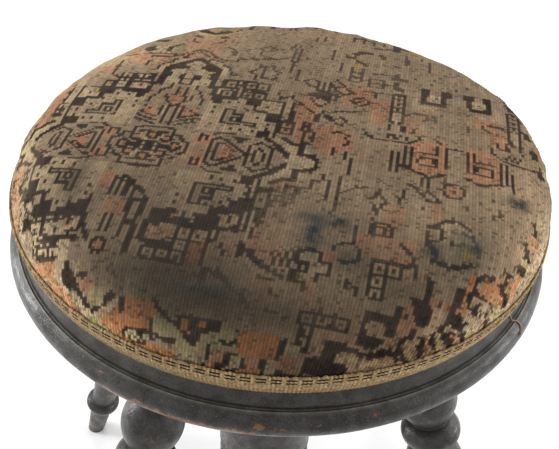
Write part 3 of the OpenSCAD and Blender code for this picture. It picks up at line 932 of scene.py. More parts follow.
def medallion_panels(c):
    """The four cream panels round the medallion, and the bands between them."""
    c.mirror(*((-73.5, -52.5, side, end) for side in (1, -1) for end in (1, -1)))
    c.box(CREAM, (69, 74, 20, 75), (21, 68, 20, 60), (21.5, 36.5, 62, 73))
    c.line(DARK, 2, ((68, 19.5), (68, 60.5), (20.5, 60.5)))
    c.area(
        GROUND,
        ((34.5, 29), (54.5, 29), (54.5, 32), (46.5, 32), (46.5, 40.5), (39, 40.5), (39, 46),
        (34.5, 46)),
    )
    c.box(
        DARK, (21, 39, 57.5, 62), (44.5, 54.5, 52.5, 61), (59.5, 68, 36.5, 46.5),
        (51.5, 60, 44.5, 48), (50, 52.5, 46, 54), (23, 28.5, 51.5, 60), (38.5, 44.5, 32, 38),
        (73.5, 76.5, 40.5, 52), (58, 66, 18.5, 26),
    )
    c.oval(CREAM, (60, 52.5, 6, 5))
    c.dots(MUSTARD, (56.5, 55), (63, 50))
    c.thin_loop(
        ((34.5, 29), (54.5, 29), (54.5, 32.4), (46.5, 32.4), (46.5, 40.5), (39, 40.5), (39, 46),
        (34.5, 46)),
    )
    c.dots(CREAM, (41.5, 35))
    c.frame(DARK, 21.5, 36.5, 62, 73, 2.4)
    c.area(SALMON, ((25, 67.5), (29, 64.5), (33.5, 67.5), (29, 70.5)))
    c.dots(
        DARK, (59.5, 52.5), (40.5, 54.5), (33.5, 54), (47.5, 46.5), (26, 47), (54.5, 39.5),
        (26, 40), (62.5, 32.5), (62.5, 26.5), (54.5, 23.5), (47.5, 23.5), (41.5, 23.5), (29, 67.5),
    )
    c.area(DARK, ((45, 16), (56, 16), (50.5, 10)))
    for wide, tall in ((7, 13.5), (2.6, 8)):
        c.thin(
            ((63.5 - wide, 0), (63.5 - wide, tall - 4), (63.5, tall)), ((63.5, tall),
            (63.5 + wide, tall - 4), (63.5 + wide, 0)),
        )
    c.box(SALMON, (78, 90, 18, 80), (41, 51, 0, 8))
    for left, right, low, high in (
        (39.5, 46.5, 62, 71.5), (39.5, 46.5, 71.5, 76.5), (39.5, 46.5, 76.5, 83.5),
        (24.5, 31, 76.5, 83.5), (31, 37.5, 76.5, 83.5), (47.5, 54.5, 62.5, 70.5),
        (70.5, 78, 27, 33), (70.5, 78, 33, 39.5),
    ):
        c.cell(left, right, low, high)
    c.area(CREAM, ((66, 20), (76, 20), (88, 15), (98, 4), (98, 0), (80, 0), (77, 8), (72, 13)))
    c.line(DARK, 4, ((66, 18), (72, 13), (77, 8), (80, 4)))
    c.line(DARK, 3.5, ((74.5, 21.5), (81.5, 16.5), (87.5, 16.5), (87.5, 7.5), (95.5, 6.5), (98, 2)))
    c.thin(
        ((75, 54), (75, 62)), ((33, 15), (38, 19), (46, 19)),
        ((35, 0), (35, 11), (38, 14), (41.5, 12), (55.5, 1.5)),
        ((38.8, 0), (38.8, 8), (42, 8), (50, 2)),
    )
    c.box(SALMON, (24, 34, 5, 15))
    c.thin(((26, 8), (26, 14), (31, 14), (31, 9)))


def medallion_heart(c):
    """The dark rosette in the medallion's middle and its stepped field."""
    c.mirror(*((-76.5, -53, side, end) for side in (1, -1) for end in (1, -1)))
    edge = ((0, 19), (5, 19), (13, 18), (13, 12), (18, 11), (20, 6), (24, 5), (24, 0))
    c.thin(edge, ((3, 14), (9, 14)), ((9, 1), (13, 1)))
    for p, q, wide, tall in ((0, 10.5, 3.2, 2.8), (9.5, 7.5, 3.2, 2.4), (16, 1, 2.6, 2.6)):
        c.oval(DARK, (p, q, wide + 1.6, tall + 1.4))
        c.oval(SALMON, (p, q, wide - 0.6, tall - 0.8))
    c.line(CREAM, 1.9, ((4, 6), (7, 10)))
    c.oval(DARK, (0, 0, 9, 5.5))
    c.dots(SAGE, (4, 2))


def medallion_gable(c):
    """The pointed arch at the medallion's far end."""
    c.mirror(*((-73.5, -52.5, side, 1) for side in (1, -1)))
    c.area(
        CREAM, ((0, 72), (16, 72), (16, 96), (0, 109)),
        ((0, 66), (3, 66), (6, 55), (6, 50), (3, 46), (0, 44)),
    )
    c.area(
        DARK, ((3.5, 97), (14.5, 92), (17, 97), (9, 103), (5, 100)),
        ((10, 86), (16.5, 80), (16.5, 92), (13, 90)),
    )
    c.box(DARK, (2.5, 7.5, 80, 86.5), (16.5, 24, 68.5, 73))
    c.dots(SALMON, (0, 101.5), (0, 76.5))
    c.box(SALMON, (0, 2.5, 57, 66), (9, 17, 32, 41))
    c.dots(DARK, (13.5, 39.5), (17.5, 41.5), (17.5, 35.5))
    c.line(CREAM, 4, ((22, 90), (22, 97), (15, 106), (6, 113)))
    c.line(DARK, 4.6, ((17.5, 71), (17.5, 97), (0, 112)))
    c.area(SAGE, ((7, 92), (12, 94), (14, 84), (9, 82)))
    c.frame(DARK, -3.5, 3.5, 72.5, 80)
    c.oval(SALMON, (0, 51, 5.5, 6))
    c.thin(
        ((7.5, 113.5), (16.5, 109.5), (18.5, 104.5), (23.5, 101.5), (25.5, 96.5), (26.5, 90.5),
        (32.5, 90.5)), ((24, 71.5), (36, 71.5)), ((22.5, 55), (22.5, 68)),
        ((8.5, 73), (8.5, 67), (13, 64), (14.5, 57), (17, 54), (17, 47)),
        ((2.5, 68), (3, 58), (6, 55), (6, 50), (3, 46), (0, 43.5)), ((9, 52.5), (9, 57.5)),
        ((3, 32.5), (3, 43.5)), ((7, 32.5), (7, 43.5)), ((3, 22.5), (3, 31.5)),
    )
    c.box(SAGE, (10.5, 16, 48, 52))
    c.box(CREAM, (4, 6, 33, 43))
    for q in (22, 26, 30):
        c.thin(((7, q), (20, q + 5)))


def medallion_foot(c):
    """The near end of the medallion, which the weaver drew another way."""
    c.mirror()
    c.box(
        DARK, (-65, -61, -138, -118), (-58, -50.5, -117, -105), (-60, -38, -131, -127.5),
        (-60, -56, -130, -114), (-133, -122, -116, -107), (-107, -102, -117, -107),
        (-10, -8, -115, -80), (-17, -8, -102, -92), (-33, -25, -115, -105), (-52, -9, -115, -112.5),
    )
    c.line(
        DARK, 2.4, ((-71, -102), (-71, -110), (-69, -117), (-71, -130)),
        ((-1.5, -95), (-1.5, -105), (4, -104.5)), ((-1.5, -110), (-1.5, -118), (5, -118)),
    )
    c.area(
        DARK, ((-150, -93), (-138, -93), (-133, -103), (-150, -103)),
        ((-25, -99), (-16, -99), (-16, -103), (-23, -104), (-26, -107), (-26, -101)),
        ((-13, -111), (-9, -109), (-9, -116), (-14, -114.5)),
    )
    c.dots(SALMON, (-18, -106), (-44, -106), (-46, -109))
    c.box(SALMON, (-95, -87, -95, -80), (0, 7, -128, -109))
    c.line(
        DARK, 3, ((-95, -101), (-95, -112), (-93, -120), (-88, -130)),
        ((-72, -100), (-64, -100), (-63, -110), (-66, -120)),
    )
    c.box(ORANGE, (-128, -108, -151, -142), (-30, -23, -138, -126.5))
    c.area(SALMON, ((-84, -100), (-72, -100), (-72, -116), (-84, -116)))
    c.thin(
        ((-71.5, -90), (-66, -95), (-62, -100)), ((-82.5, -113), (-82.5, -125)),
        ((-77.5, -113), (-77.5, -125)), ((-148, -117.5), (-100, -117.5)),
        ((-21.5, -120), (-21.5, -136), (-20, -148)), ((-17.5, -140), (-17.5, -150)),
    )
    for p, top in ((-85, -84), (-81.5, -82), (-78, -84), (-75.5, -88), (-71.5, -90)):
        c.thin(((p, -98), (p, top), (p + 5, top - 2)))
    c.oval(DARK, (-79.5, -134, 5, 5.4))
    c.oval(SALMON, (-79.5, -134, 3, 3.2), (-49, -122, 6.5, 4.4))
    c.dots(CREAM, (-52, -121), (-45, -123))
    for left, right, low, high in (
        (-39, -31.5, -125, -116.5), (-39, -31.5, -132.5, -125), (-39, -31.5, -139.5, -132.5),
        (-31, -23, -125.5, -116.5), (-54, -46.5, -139.5, -132), (-46.5, -39, -139.5, -132),
        (-126, -118, -134, -127), (-122, -114, -141, -134), (-114, -105, -141, -134),
        (-132, -122, -127, -118),
    ):
        c.cell(left, right, low, high)
    c.line(DARK, 4, ((-119, -130), (-95, -130)))
    c.oval(CREAM, (-110, -124, 7, 4))
    c.dots(DARK, (-110, -124), (-15, -108), (-39, -108), (-22, -94), (-30.5, -98))


def middle_star(c):
    """The outlined star, flowers and wavering lines between the medallion and the right field."""
    c.mirror()
    star = ((-36, 45), (-31, 48), (-30, 57), (-26, 51), (-21, 58), (-19, 50), (-14, 48))
    star += ((-18, 43), (-15, 35), (-23, 38), (-29, 33), (-30, 41))
    c.area(
        SALMON, ((2, 8), (14, 8), (16, -10), (40, -12), (44, -33), (30, -42), (14, -34), (6, -12)),
        ((30, 17), (50, 17), (50, 45), (40, 42), (32, 36)),
        ((20, 40), (30, 46), (34, 40), (26, 36)), ((50, 0), (62, 0), (62, 28), (50, 28)),
    )
    c.thin(
        ((21, 36), (28, 40)), ((11, 18), (14, 12), (17.5, 10), (21, 15), (22, 19)),
        ((-25, 36), (-25, 56)), ((-3, 40), (-3, 56)), ((-8, 50), (-8, 70)), ((45, 52), (60, 52)),
        ((-10, 20), (-9, 12), (-1, 18), (0, 13), (7, 9), (1, 8), (1, 2)),
        ((10, 5), (15.5, 0), (15.5, -9)), ((20, 5), (19, 0), (19, -9)),
        ((24, 4), (30, 7), (44, 10)), ((30, -18), (33, -16), (40, -20)),
        ((38, -22), (40, -29), (37, -30)), ((44, -43), (44, -58)), ((34.5, -66), (34.5, -82)),
        ((38.5, -60), (38.5, -90)),
        ((30.5, -60), (30.5, -66), (23.5, -67), (23.5, -74), (18.5, -75), (18.5, -80)),
        ((42, -74), (48, -69), (56, -66)),
    )
    c.thin_loop(
        ((3, 41), (9, 46), (13, 41), (11, 34), (5, 37)),
        ((20, 44), (24, 47), (29, 43), (31, 38), (37, 33), (30, 30), (24, 35)),
        ((42, 29.5), (48.5, 23), (42, 16.5), (35.5, 23)), star,
        ((28, -4), (32, 0), (36, -3), (34, -9), (30, -8)),
    )
    c.line(DARK, 3, ((15, 20), (15, 30)), ((19.5, 20), (19.5, 30)), ((32, -34), (32, -41)))
    c.area(
        DARK, ((6, 22), (12, 29), (14, 22), (10, 20)), ((5, -1), (8, -1), (8, -5)),
        ((22, 2), (26, 0), (28, -4), (25, -6), (22, -3)),
    )
    for p in (13, 17, 20.5):
        c.thin(((p, 30), (p, 43)))
    c.loop(DARK, 2.4, ((21, 29), (27, 26), (26, 20), (21, 21)))
    c.dots(DARK, (42, 23))
    for p in (32, 39.5):
        c.thin(((p, 50), (p, 72)))
    for q in (50, 57, 64):
        c.thin(((32, q), (39.5, q)))
    c.frame(DARK, 45, 54, 46, 58)
    for p in (-33, -26):
        c.cell(p, p + 7, 20, 29, GROUND)
        c.cell(p, p + 7, 8.5, 15.5, GROUND)
    c.cell(-47, -40, 20, 29, GROUND)
    c.cell(-47, -40, 8.5, 15.5, GROUND)
    for left, right, low, high in (
        (-3, 5, -26, -20), (-3, 5, -20, -14), (10, 14, -20, -11), (13, 19, -33, -20),
    ):
        c.cell(left, right, low, high, SALMON)
    c.line(DARK, 2.4, ((39.5, -37), (39.5, -44)))
    c.cell(-5, 3, -95, -81, GROUND)
    c.cell(3, 10, -88, -80, GROUND)
    c.cell(10, 17, -88, -75, GROUND)


def hooked_field(c):
    """The hooked figures of the right field, drawn once and mirrored."""
    c.mirror((105, 0, 1, 1), (105, 0, -1, 1))
    c.box(SALMON, (12, 27, 12, 32), (22, 36, -5, 12))
    c.box(CREAM, (11, 19, 36, 48), (12, 29, 26, 30), (25.5, 29.5, 27, 40), (36, 41, 2, 14))
    c.area(SALMON, ((6, -14), (27, -14), (27, -46), (6, -46)))
    c.box(
        DARK, (7, 10, 38, 49), (8, 24, 32.5, 38), (18, 24, 47, 56), (20.5, 24, 33, 48),
        (33, 45, 59.5, 64.5), (40.5, 44.5, 60, 71), (40, 43.5, 46, 58), (35.5, 42, 45.5, 49.5),
        (12, 15, -36, -31),
    )
    c.line(DARK, 6, ((8, 49), (8, 53)))
    c.area(DARK, ((4, 48), (11.5, 48), (11.5, 56), (4, 56)))
    c.dots(DARK, (14.5, 44))
    for low in (16, 22, 28, 34):
        c.cell(35, 42, low, low + 6.5, GROUND)
    c.oval(SALMON, (30, -3, 4, 5))
    c.area(GROUND, ((23, -8), (56, -8), (56, -15), (50, -19), (30, -19), (24, -14)))
    c.thin(
        ((35, 2), (35, 16)), ((42, 2), (42, 16)), ((34, -7), (35.5, -2), (36.5, 3)),
        ((43.5, -7), (42, -2), (41, 3)), ((26, -1), (28, -7), (33, -6), (32, 0)),
        ((22, -8), (23.5, -13), (30, -18.5), (50, -19), (56.5, -15), (57.5, -10)),
        ((7, -17), (7, -38)), ((11, -17), (11, -26), (22, -26)), ((6, -44), (15, -49), (33, -42)),
        ((16, 18), (17, 13), (22, 10)), ((20, 18), (28, 18), (34, 13)),
    )
    for p in (34, 38, 42):
        c.dots(DARK, (p, -12), (p - 2, -15))
    for p, high, low in ((28, -22, -43), (32, -22, -43), (35.5, -29, -49), (39, -29, -49)):
        c.thin(((p, high), (p, low)))
    c.thin_loop(((11.5, -31), (22, -31), (23, -35), (22, -38.5), (11.5, -38.5)))


def right_field(c):
    """What stands alone in the right field: the stem, circle, bird and rosette."""
    c.mirror()
    c.box(DARK, (50.5, 52.5, 29, 38), (84, 86, 12, 16), (111, 114, 5, 14))
    for p in (86, 90):
        c.thin(((p, -50), (p, -58)))
    for p, high, low in ((76.5, -64, -70), (74.5, -71, -76), (131.5, -67, -73), (127, -73, -76)):
        c.thin(((p, high), (p, low)))
    c.area(
        CREAM,
        ((92, -90), (101, -84), (108, -84), (114, -89), (117, -101), (117, -111), (104, -114),
        (98, -100)),
    )
    c.line(DARK, 2.4, ((92, -90), (97, -88), (101, -83.5), (108, -84), (114, -89)))
    c.line(TEAL, 2.4, ((110, -92), (116, -95), (119, -101), (120, -106)))
    c.line(DARK, 2.8, ((95, -112), (104, -115), (117, -112)))
    c.area(SAGE, ((109, -93), (115, -96), (118, -104), (116, -110), (110, -108)))
    for q in (-104, -107, -110):
        c.line(MUSTARD, 1.5, ((113, q), (118, q)))
    for left, right, low, high in (
        (64.5, 72, -128, -120), (72, 80, -128, -120), (64.5, 72, -136, -128),
        (64.5, 72, -142, -136),
    ):
        c.cell(left, right, low, high)
    c.dots(
        DARK, (127, -60), (112, -70), (120, -64), (96, -78), (88, -76), (105, -101), (60, -92),
        (60, -108), (73, -108),
    )
    c.thin(
        ((44, 38.5), (70, 38.5)), ((92, 8), (92, 19)), ((92, -10), (96, -15)),
        ((100, -17), (109, -17)), ((77, -57), (84, -62), (90, -70), (97, -69), (88, -60)),
        ((92, -91), (99, -91), (100, -97), (92, -101)), ((80, -120), (88, -120)),
    )
    c.area(
        SALMON, ((92, -70), (98, -70), (98, -85), (92, -85)),
        ((68, -80), (78, -80), (78, -95), (68, -95)),
    )
    c.oval(SALMON, (104, -58, 7, 6.5))
    c.thin_loop(
        ((97.5, -58), (100, -52.5), (107, -52), (111, -57), (108.5, -63.5), (101, -64)),
        ((62, -67), (64, -74), (68, -77), (64, -80), (62, -87), (60, -80), (56, -77), (60, -74)),
    )
    c.dots(DARK, (104, -58), (72, -92))
    c.line(DARK, 3, ((91, -95), (91, -103), (96, -106), (97, -113)))
    c.oval(DARK, (66, -99.5, 7.2, 7))
    c.oval(SALMON, (66, -99.5, 5, 4.8))
    c.frame(DARK, 63, 69, -102.5, -96.5)
    c.area(
        SALMON,
        ((55, -103), (86, -103), (88, -119), (60, -119), (52, -125), (44, -122), (54, -112)),
    )
    c.line(DARK, 3, ((52.5, -99), (52.5, -112)))
    c.oval(DARK, (50, -118, 8.4, 7.4))
    c.oval(GROUND, (50, -118, 6.2, 5.4))
    c.thin(((78, -107), (84, -111), (87, -118), (88, -126)))


def near_figures(c):
    """The stepped cross, leaf and slanting lines near the front."""
    c.mirror()
    cross = ((25, -122), (25, -129), (31, -129), (31, -134), (25, -134), (25, -140), (37, -140))
    cross += ((37, -134), (43.5, -134), (43.5, -127), (37, -127), (37, -121), (31, -120))
    c.box(DARK, (64.5, 78, -166, -161), (78, 85, -161, -148))
    c.line(DARK, 3, ((-4, -122), (-4, -130)))
    for q in (-125.5, -129, -132.5, -136):
        c.dots(DARK, *((p + q % 2 * 2, q) for p in (12, 16, 20, 24)))
    for left in (34, 42, 50):
        c.cell(left, left + 8, -161.5, -155, GROUND)
    for low in (-168, -174):
        c.cell(35, 41.5, low, low + 6.5, GROUND)
    c.box(CREAM, (102, 110, -157, -138))
    c.area(ORANGE, ((124, -127), (148, -125), (150, -116), (140, -111), (128, -113)))
    c.thin(
        ((1, -126), (10, -135), (20, -140)), ((-16, -141), (-8, -147), (6, -155), (16, -157.5)),
        ((-14, -124), (-13, -131)), ((31.5, -140), (31.5, -145)),
        ((52, -139), (52, -134), (58, -138), (59, -142)),
    )
    c.area(SALMON, ((-16, -143), (-9, -147), (-9, -156), (-15, -150)))
    c.line(
        DARK, 2.4, ((-4, -124), (5, -133), (9, -135)), ((-12, -141), (-7, -146)),
        ((124, -124.5), (141, -128)),
    )
    c.area(
        DARK,
        ((64.5, -149), (80, -149), (80, -156), (76, -152.5), (70, -153), (68, -157), (70, -161),
        (64.5, -161)),
        ((112, -124), (118, -124), (118, -137), (128, -138), (128, -145), (118, -147),
        (116, -156), (111, -154)), ((137, -116), (145, -116), (146, -106), (139, -105)),
    )
    c.area(
        CREAM, cross, ((9, -141.5), (27, -142), (24, -149), (16, -148.5)),
        ((67, -155), (71, -153), (76, -154), (78, -160), (71, -160), (68, -158)),
    )
    c.oval(SALMON, (88.5, -149.5, 5, 8), (141, -110, 2.6, 3))
    c.area(
        DARK, ((6, -141), (20, -140.5), (12, -145)),
        ((81, -142), (84, -142), (84, -150), (80, -150)),
        ((86, -136), (95, -136), (95, -124), (98.5, -124), (98.5, -136), (101, -140),
        (101, -150), (94, -150)), ((92, -151), (97, -151), (95, -158), (91, -157)),
    )
    c.loop(DARK, 2.4, cross)
    c.thin(((11, -144), (15, -148.5), (21, -149.5)))
    c.box(
        SALMON, (38, 46, -126, -118), (32, 38, -154, -140), (5, 15, -157, -143),
        (98.5, 111, -138, -133),
    )
    c.oval(CREAM, (122, -150, 6.4, 5.4))
    c.dots(DARK, (88, -147.5), (105.5, -137), (105.5, -136), (122, -150.5), (127, -128.5))
    c.box(ORANGE, (118, 122, -138, -116))
    c.line(DARK, 3.4, ((121.5, -130), (122, -118), (127, -114), (133, -113)))
    c.line(DARK, 2.4, ((123, -131), (135, -133)))


def near_border(c):
    """The border along the front, where the pile is still thick."""
    c.mirror()
    c.box(SAGE, (30, 38, -179, -172))
    c.box(CREAM, (23, 29, -192, -182))
    c.line(DARK, 3, ((62, -169), (90, -169.5), (104, -166)))
    for k in range(5):
        (p, q) = (88 + 9 * k, -160 + 3 * k)
        c.area(DARK, ((p, q), (p + 4, q + 1), (p + 12, q - 9), (p + 8, q - 10)))
        c.area(
            ORANGE if k % 2 else SAGE,
            ((p + 4, q + 1), (p + 8, q + 2), (p + 16, q - 8), (p + 12, q - 9)),
        )
    for k in range(6):
        (p, q) = (134 + 4 * k, -150 + 17 * k)
        c.area(DARK, ((p, q), (p + 5, q + 2), (p + 9, q - 6), (p + 5, q - 8)))
        c.oval(SAGE if k % 2 else ORANGE, (p + 10, q + 5, 5, 5))
    c.area(
        ORANGE, ((-62, -160), (-40, -160), (-37, -178), (-60, -180), (-66, -172)),
        ((-110, -151), (-98, -158), (-88, -168), (-96, -176), (-112, -166), (-122, -156)),
        ((-75, -172), (-55, -171), (-60, -188), (-84, -184)),
    )
    c.area(
        SAGE, ((-105, -131), (-98, -131), (-100, -146), (-97, -156), (-88, -166), (-80, -171)),
        ((-41, -168), (-35, -166), (-28, -171), (-24, -178), (-34, -179), (-42, -176)),
        ((57, -172), (70, -172), (66, -178), (56, -177)),
        ((76, -171), (90, -172), (88, -180), (78, -180)),
    )
    c.area(
        CREAM, ((-105, -131), (-98, -131), (-99, -150), (-96, -158), (-103, -158), (-106, -148)),
        ((-96, -143), (-88, -143), (-88, -149), (-91, -151)),
        ((70, -172), (76, -172), (77, -184), (71, -184)),
    )
    c.line(
        CREAM, 4.5, ((-100, -158), (-95, -163), (-88, -167), (-80, -171), (-72, -169), (-63, -162)),
    )
    c.line(
        DARK, 4.5,
        ((-98, -145), (-97, -153), (-93, -158), (-87, -163), (-79, -168), (-72, -164), (-66, -160)),
        ((-97, -148), (-91, -154.5), (-85, -150)),
    )
    c.area(SALMON, ((-90, -152), (-78, -153), (-80, -160), (-88, -159)))
    c.box(DARK, (-62, -58, -168, -161), (27, 30, -181, -171), (20, 22.5, -191, -181))
    c.box(SALMON, (-5, 20, -197, -182), (29, 39, -187, -179))
    c.oval(DARK, (6, -186, 6, 5))
    c.oval(SAGE, (-80, -176, 9, 4), (-52, -180, 11, 4.5), (6, -186, 4, 3.4))
    c.dots(DARK, (-52, -180), (-57, -181), (-47, -179.5))
    c.thin_loop(((-63, -180), (-56, -176.5), (-44, -177), (-40, -181), (-50, -184.5), (-60, -184)))
    c.line(
        DARK, 2.4, ((-42, -160), (-34, -168), (-25, -173), (-20, -179)),
        ((-41, -170), (-42, -177), (-33, -180), (-26, -180)),
    )
    c.area(
        SAGE, ((-80, -157), (-70, -158), (-75, -166), (-80, -165)),
        ((-26, -178), (-14, -182), (-15, -190), (-21, -190), (-27, -184)),
    )
    c.area(
        DARK,
        ((-31, -166), (-4, -166), (-4, -172), (-12, -176), (-16, -181), (-20, -181), (-24, -172)),
        ((50, -167), (62, -167), (62, -171), (55, -173), (55, -178), (70, -179), (70, -184),
        (42, -187), (42, -178), (50, -177)),
    )
    c.area(
        ORANGE, ((-60, -184), (-30, -184), (-28, -191), (-58, -191)),
        ((-26, -168), (-22, -168), (-20, -175), (-24, -174)),
    )
    c.area(SAGE, ((-14, -175), (-2, -171), (5, -171), (3, -176), (-2, -181), (-10, -180)))
    c.box(DARK, (-9, -7, -191, -178), (28, 41, -191, -186))
    c.line(DARK, 2.4, ((-4, -176), (1, -178), (7, -174), (5, -170)))
    c.box(ORANGE, (-16, -12, -171, -168), (6, 27, -182, -170))


def far_border(c):
    """The second arch, broken figures and faded border along the back and the left edge."""
    c.mirror()
    c.box(SALMON, (-122, -96, 48, 66), (-142, -126, 28, 42), (-156, -150, -8, 18))
    c.area(
        SALMON, ((-90, 78), (-62, 78), (-60, 108), (-68, 100), (-84, 98), (-92, 106)),
        ((-95, 58), (-60, 62), (-66, 76), (-86, 74)),
    )
    c.area(ORANGE, ((-132, 66), (-122, 66), (-122, 82), (-130, 80)))
    c.area(CREAM, ((-124, 66), (-98, 66), (-94, 76), (-106, 84)))
    c.mirror((-76, 0, 1, 1), (-76, 0, -1, 1))
    c.thin(
        ((0, 76), (9, 70), (12, 64), (21, 60)), ((0, 71), (7, 66), (9, 61)),
        ((4, 88), (10, 92), (12, 98)),
    )
    c.line(CREAM, 4, ((18, 121), (9, 110), (0, 105)))
    c.line(DARK, 7, ((15, 126), (8, 116), (0, 113)))
    c.oval(CREAM, (0, 121, 4.5, 6.5), (0, 66, 3.5, 4))
    c.oval(MUSTARD, (0, 118, 3, 3), (12, 126, 4, 6))
    c.oval(SAGE, (0, 102, 6, 6))
    c.area(DARK, ((6, 104), (12, 107), (12, 102), (7, 100)))
    c.line(DARK, 2.4, ((18, 84), (24, 78), (24, 70)))
    c.mirror()
    c.thin(
        ((-130, 62), (-100, 66), (-92, 64)), ((-128, 52), (-128, 28), (-122, 24)),
        ((-108, 44), (-108, 60), (-96, 60)), ((-14, 90), (-14, 97)), ((16, 80), (16, 100)),
        ((24, 64), (23, 78)), ((-34, 80), (-34, 74), (-24, 70)), ((-48, 60), (-46, 64)),
        ((-20, 69), (-12, 76)), ((-8, 108), (-2, 104), (-1, 100)), ((6, 114), (6, 124)),
        ((1, 112), (1, 120)), ((68, 90), (68, 108)), ((71, 90), (71, 100)), ((79, 102), (79, 108)),
        ((46, 66), (60, 67)),
    )
    c.dots(DARK, (87, 63), (93, 76), (97, 82), (106, 88), (90, 70), (76, 68), (104, 60), (112, 68))
    c.area(
        DARK, ((-120, 78), (-112, 80), (-109, 70), (-117, 69)),
        ((-116, 96), (-104, 93), (-106, 88), (-115, 90)), ((57, 86), (64, 86), (65, 80), (60, 82)),
    )
    c.line(DARK, 2.4, ((-46, 64), (-20, 69)), ((28, 132), (50, 132)), ((86, 82), (86, 102)))
    c.line(DARK, 4, ((50, 102), (52, 95)), ((35, 84), (41, 78)))
    c.box(DARK, (24, 32, 87, 92), (58, 63, 112, 152))
    for p in (-118, -111, -104):
        c.cell(p, p + 7, 20, 30)
    for q in (10, 0, -10, -20):
        c.cell(-152, -145, q - 5, q + 3, SALMON)
    c.oval(CREAM, (-104, 55, 5, 4))
    for p in (-10, -6):
        c.thin(((p, 68), (p - 1, 84), (p - 2, 100)))
    c.thin_loop(((-30, 92), (-24, 86), (-30, 80), (-36, 86)))
    for p in (-23, -19):
        c.thin(((p, 134), (p, 152)))
    c.line(DARK, 5, ((31, 96), (36, 102), (42, 103)))
    c.box(MUSTARD, (33, 38, 70, 79))
    for p in (28, 36, 44, 50):
        c.thin(((p, 123), (p, 134)))
    c.line(DARK, 2.6, ((44, 115), (58, 117.5)))
    c.oval(DARK, (67, 123.5, 4.5, 3.5))
    c.area(MUSTARD, ((68, 112), (80, 110), (80, 120), (74, 124), (70, 120)))
    for k in range(9):
        p = -60 + 16 * k
        q = 148 - 0.0016 * p * p * 3
        c.oval(CREAM if k % 2 else SALMON, (p, q + 6, 6, 5))
        c.line(DARK, 3, ((p + 8, q - 2), (p + 8, q + 12)))
        c.line(DARK, 2.4, ((p - 6, q + 14), (p + 6, q + 14)))
    for k in range(12):
        p = -96 + 17 * k
        q = 178 - 0.0028 * p * p
        c.area(DARK, ((p - 6, q), (p, q + 7), (p + 6, q), (p, q - 7)))
        c.oval(SAGE if k % 2 else ORANGE, (p, q, 3, 3.5))
        c.oval(CREAM, (p + 8.5, q + 9, 3.5, 4))
    for k in range(7):
        (p, q) = (128 + 5 * k, 92 - 18 * k)
        c.area(DARK, ((p, q), (p + 7, q + 4), (p + 9, q - 5), (p + 3, q - 8)))
        c.oval(SALMON if k % 2 else CREAM, (p + 12, q + 6, 5, 5))
    for k in range(10):
        (p, q) = (-162 - 1.2 * k, 40 - 17 * k)
        c.area(DARK, ((p, q), (p + 7, q + 3), (p + 8, q - 5), (p + 2, q - 7)))
        c.oval(SAGE if k % 2 else CREAM, (p - 2, q + 7, 5, 4.5))


def figure(carpet):
    """Draws the carpet's figures, the broad ones first."""
    far_border(carpet)
    hooked_field(carpet)
    medallion_panels(carpet)
    medallion_heart(carpet)
    medallion_gable(carpet)
    medallion_foot(carpet)
    middle_star(carpet)
    right_field(carpet)
    near_figures(carpet)
    near_border(carpet)


def mottle(draw, shape, cell):
    """Soft random patches about a number of knots wide, from -1 to 1."""
    tall, wide = (max(2, side // cell + 2) for side in shape)
    coarse = draw.uniform(-1, 1, (tall, wide))
    rows = np.linspace(0, tall - 1, shape[0])
    columns = np.linspace(0, wide - 1, shape[1])
    part = np.array([np.interp(columns, np.arange(wide), line) for line in coarse])
    return np.array([np.interp(rows, np.arange(tall), line) for line in part.T]).T


def patch(carpet, p, q, wide, tall):
    """1 in the middle of a soft oval patch, falling to 0 round it."""
    return np.exp(-(((carpet.p - p) / wide) ** 2) - ((carpet.q - q) / tall) ** 2)


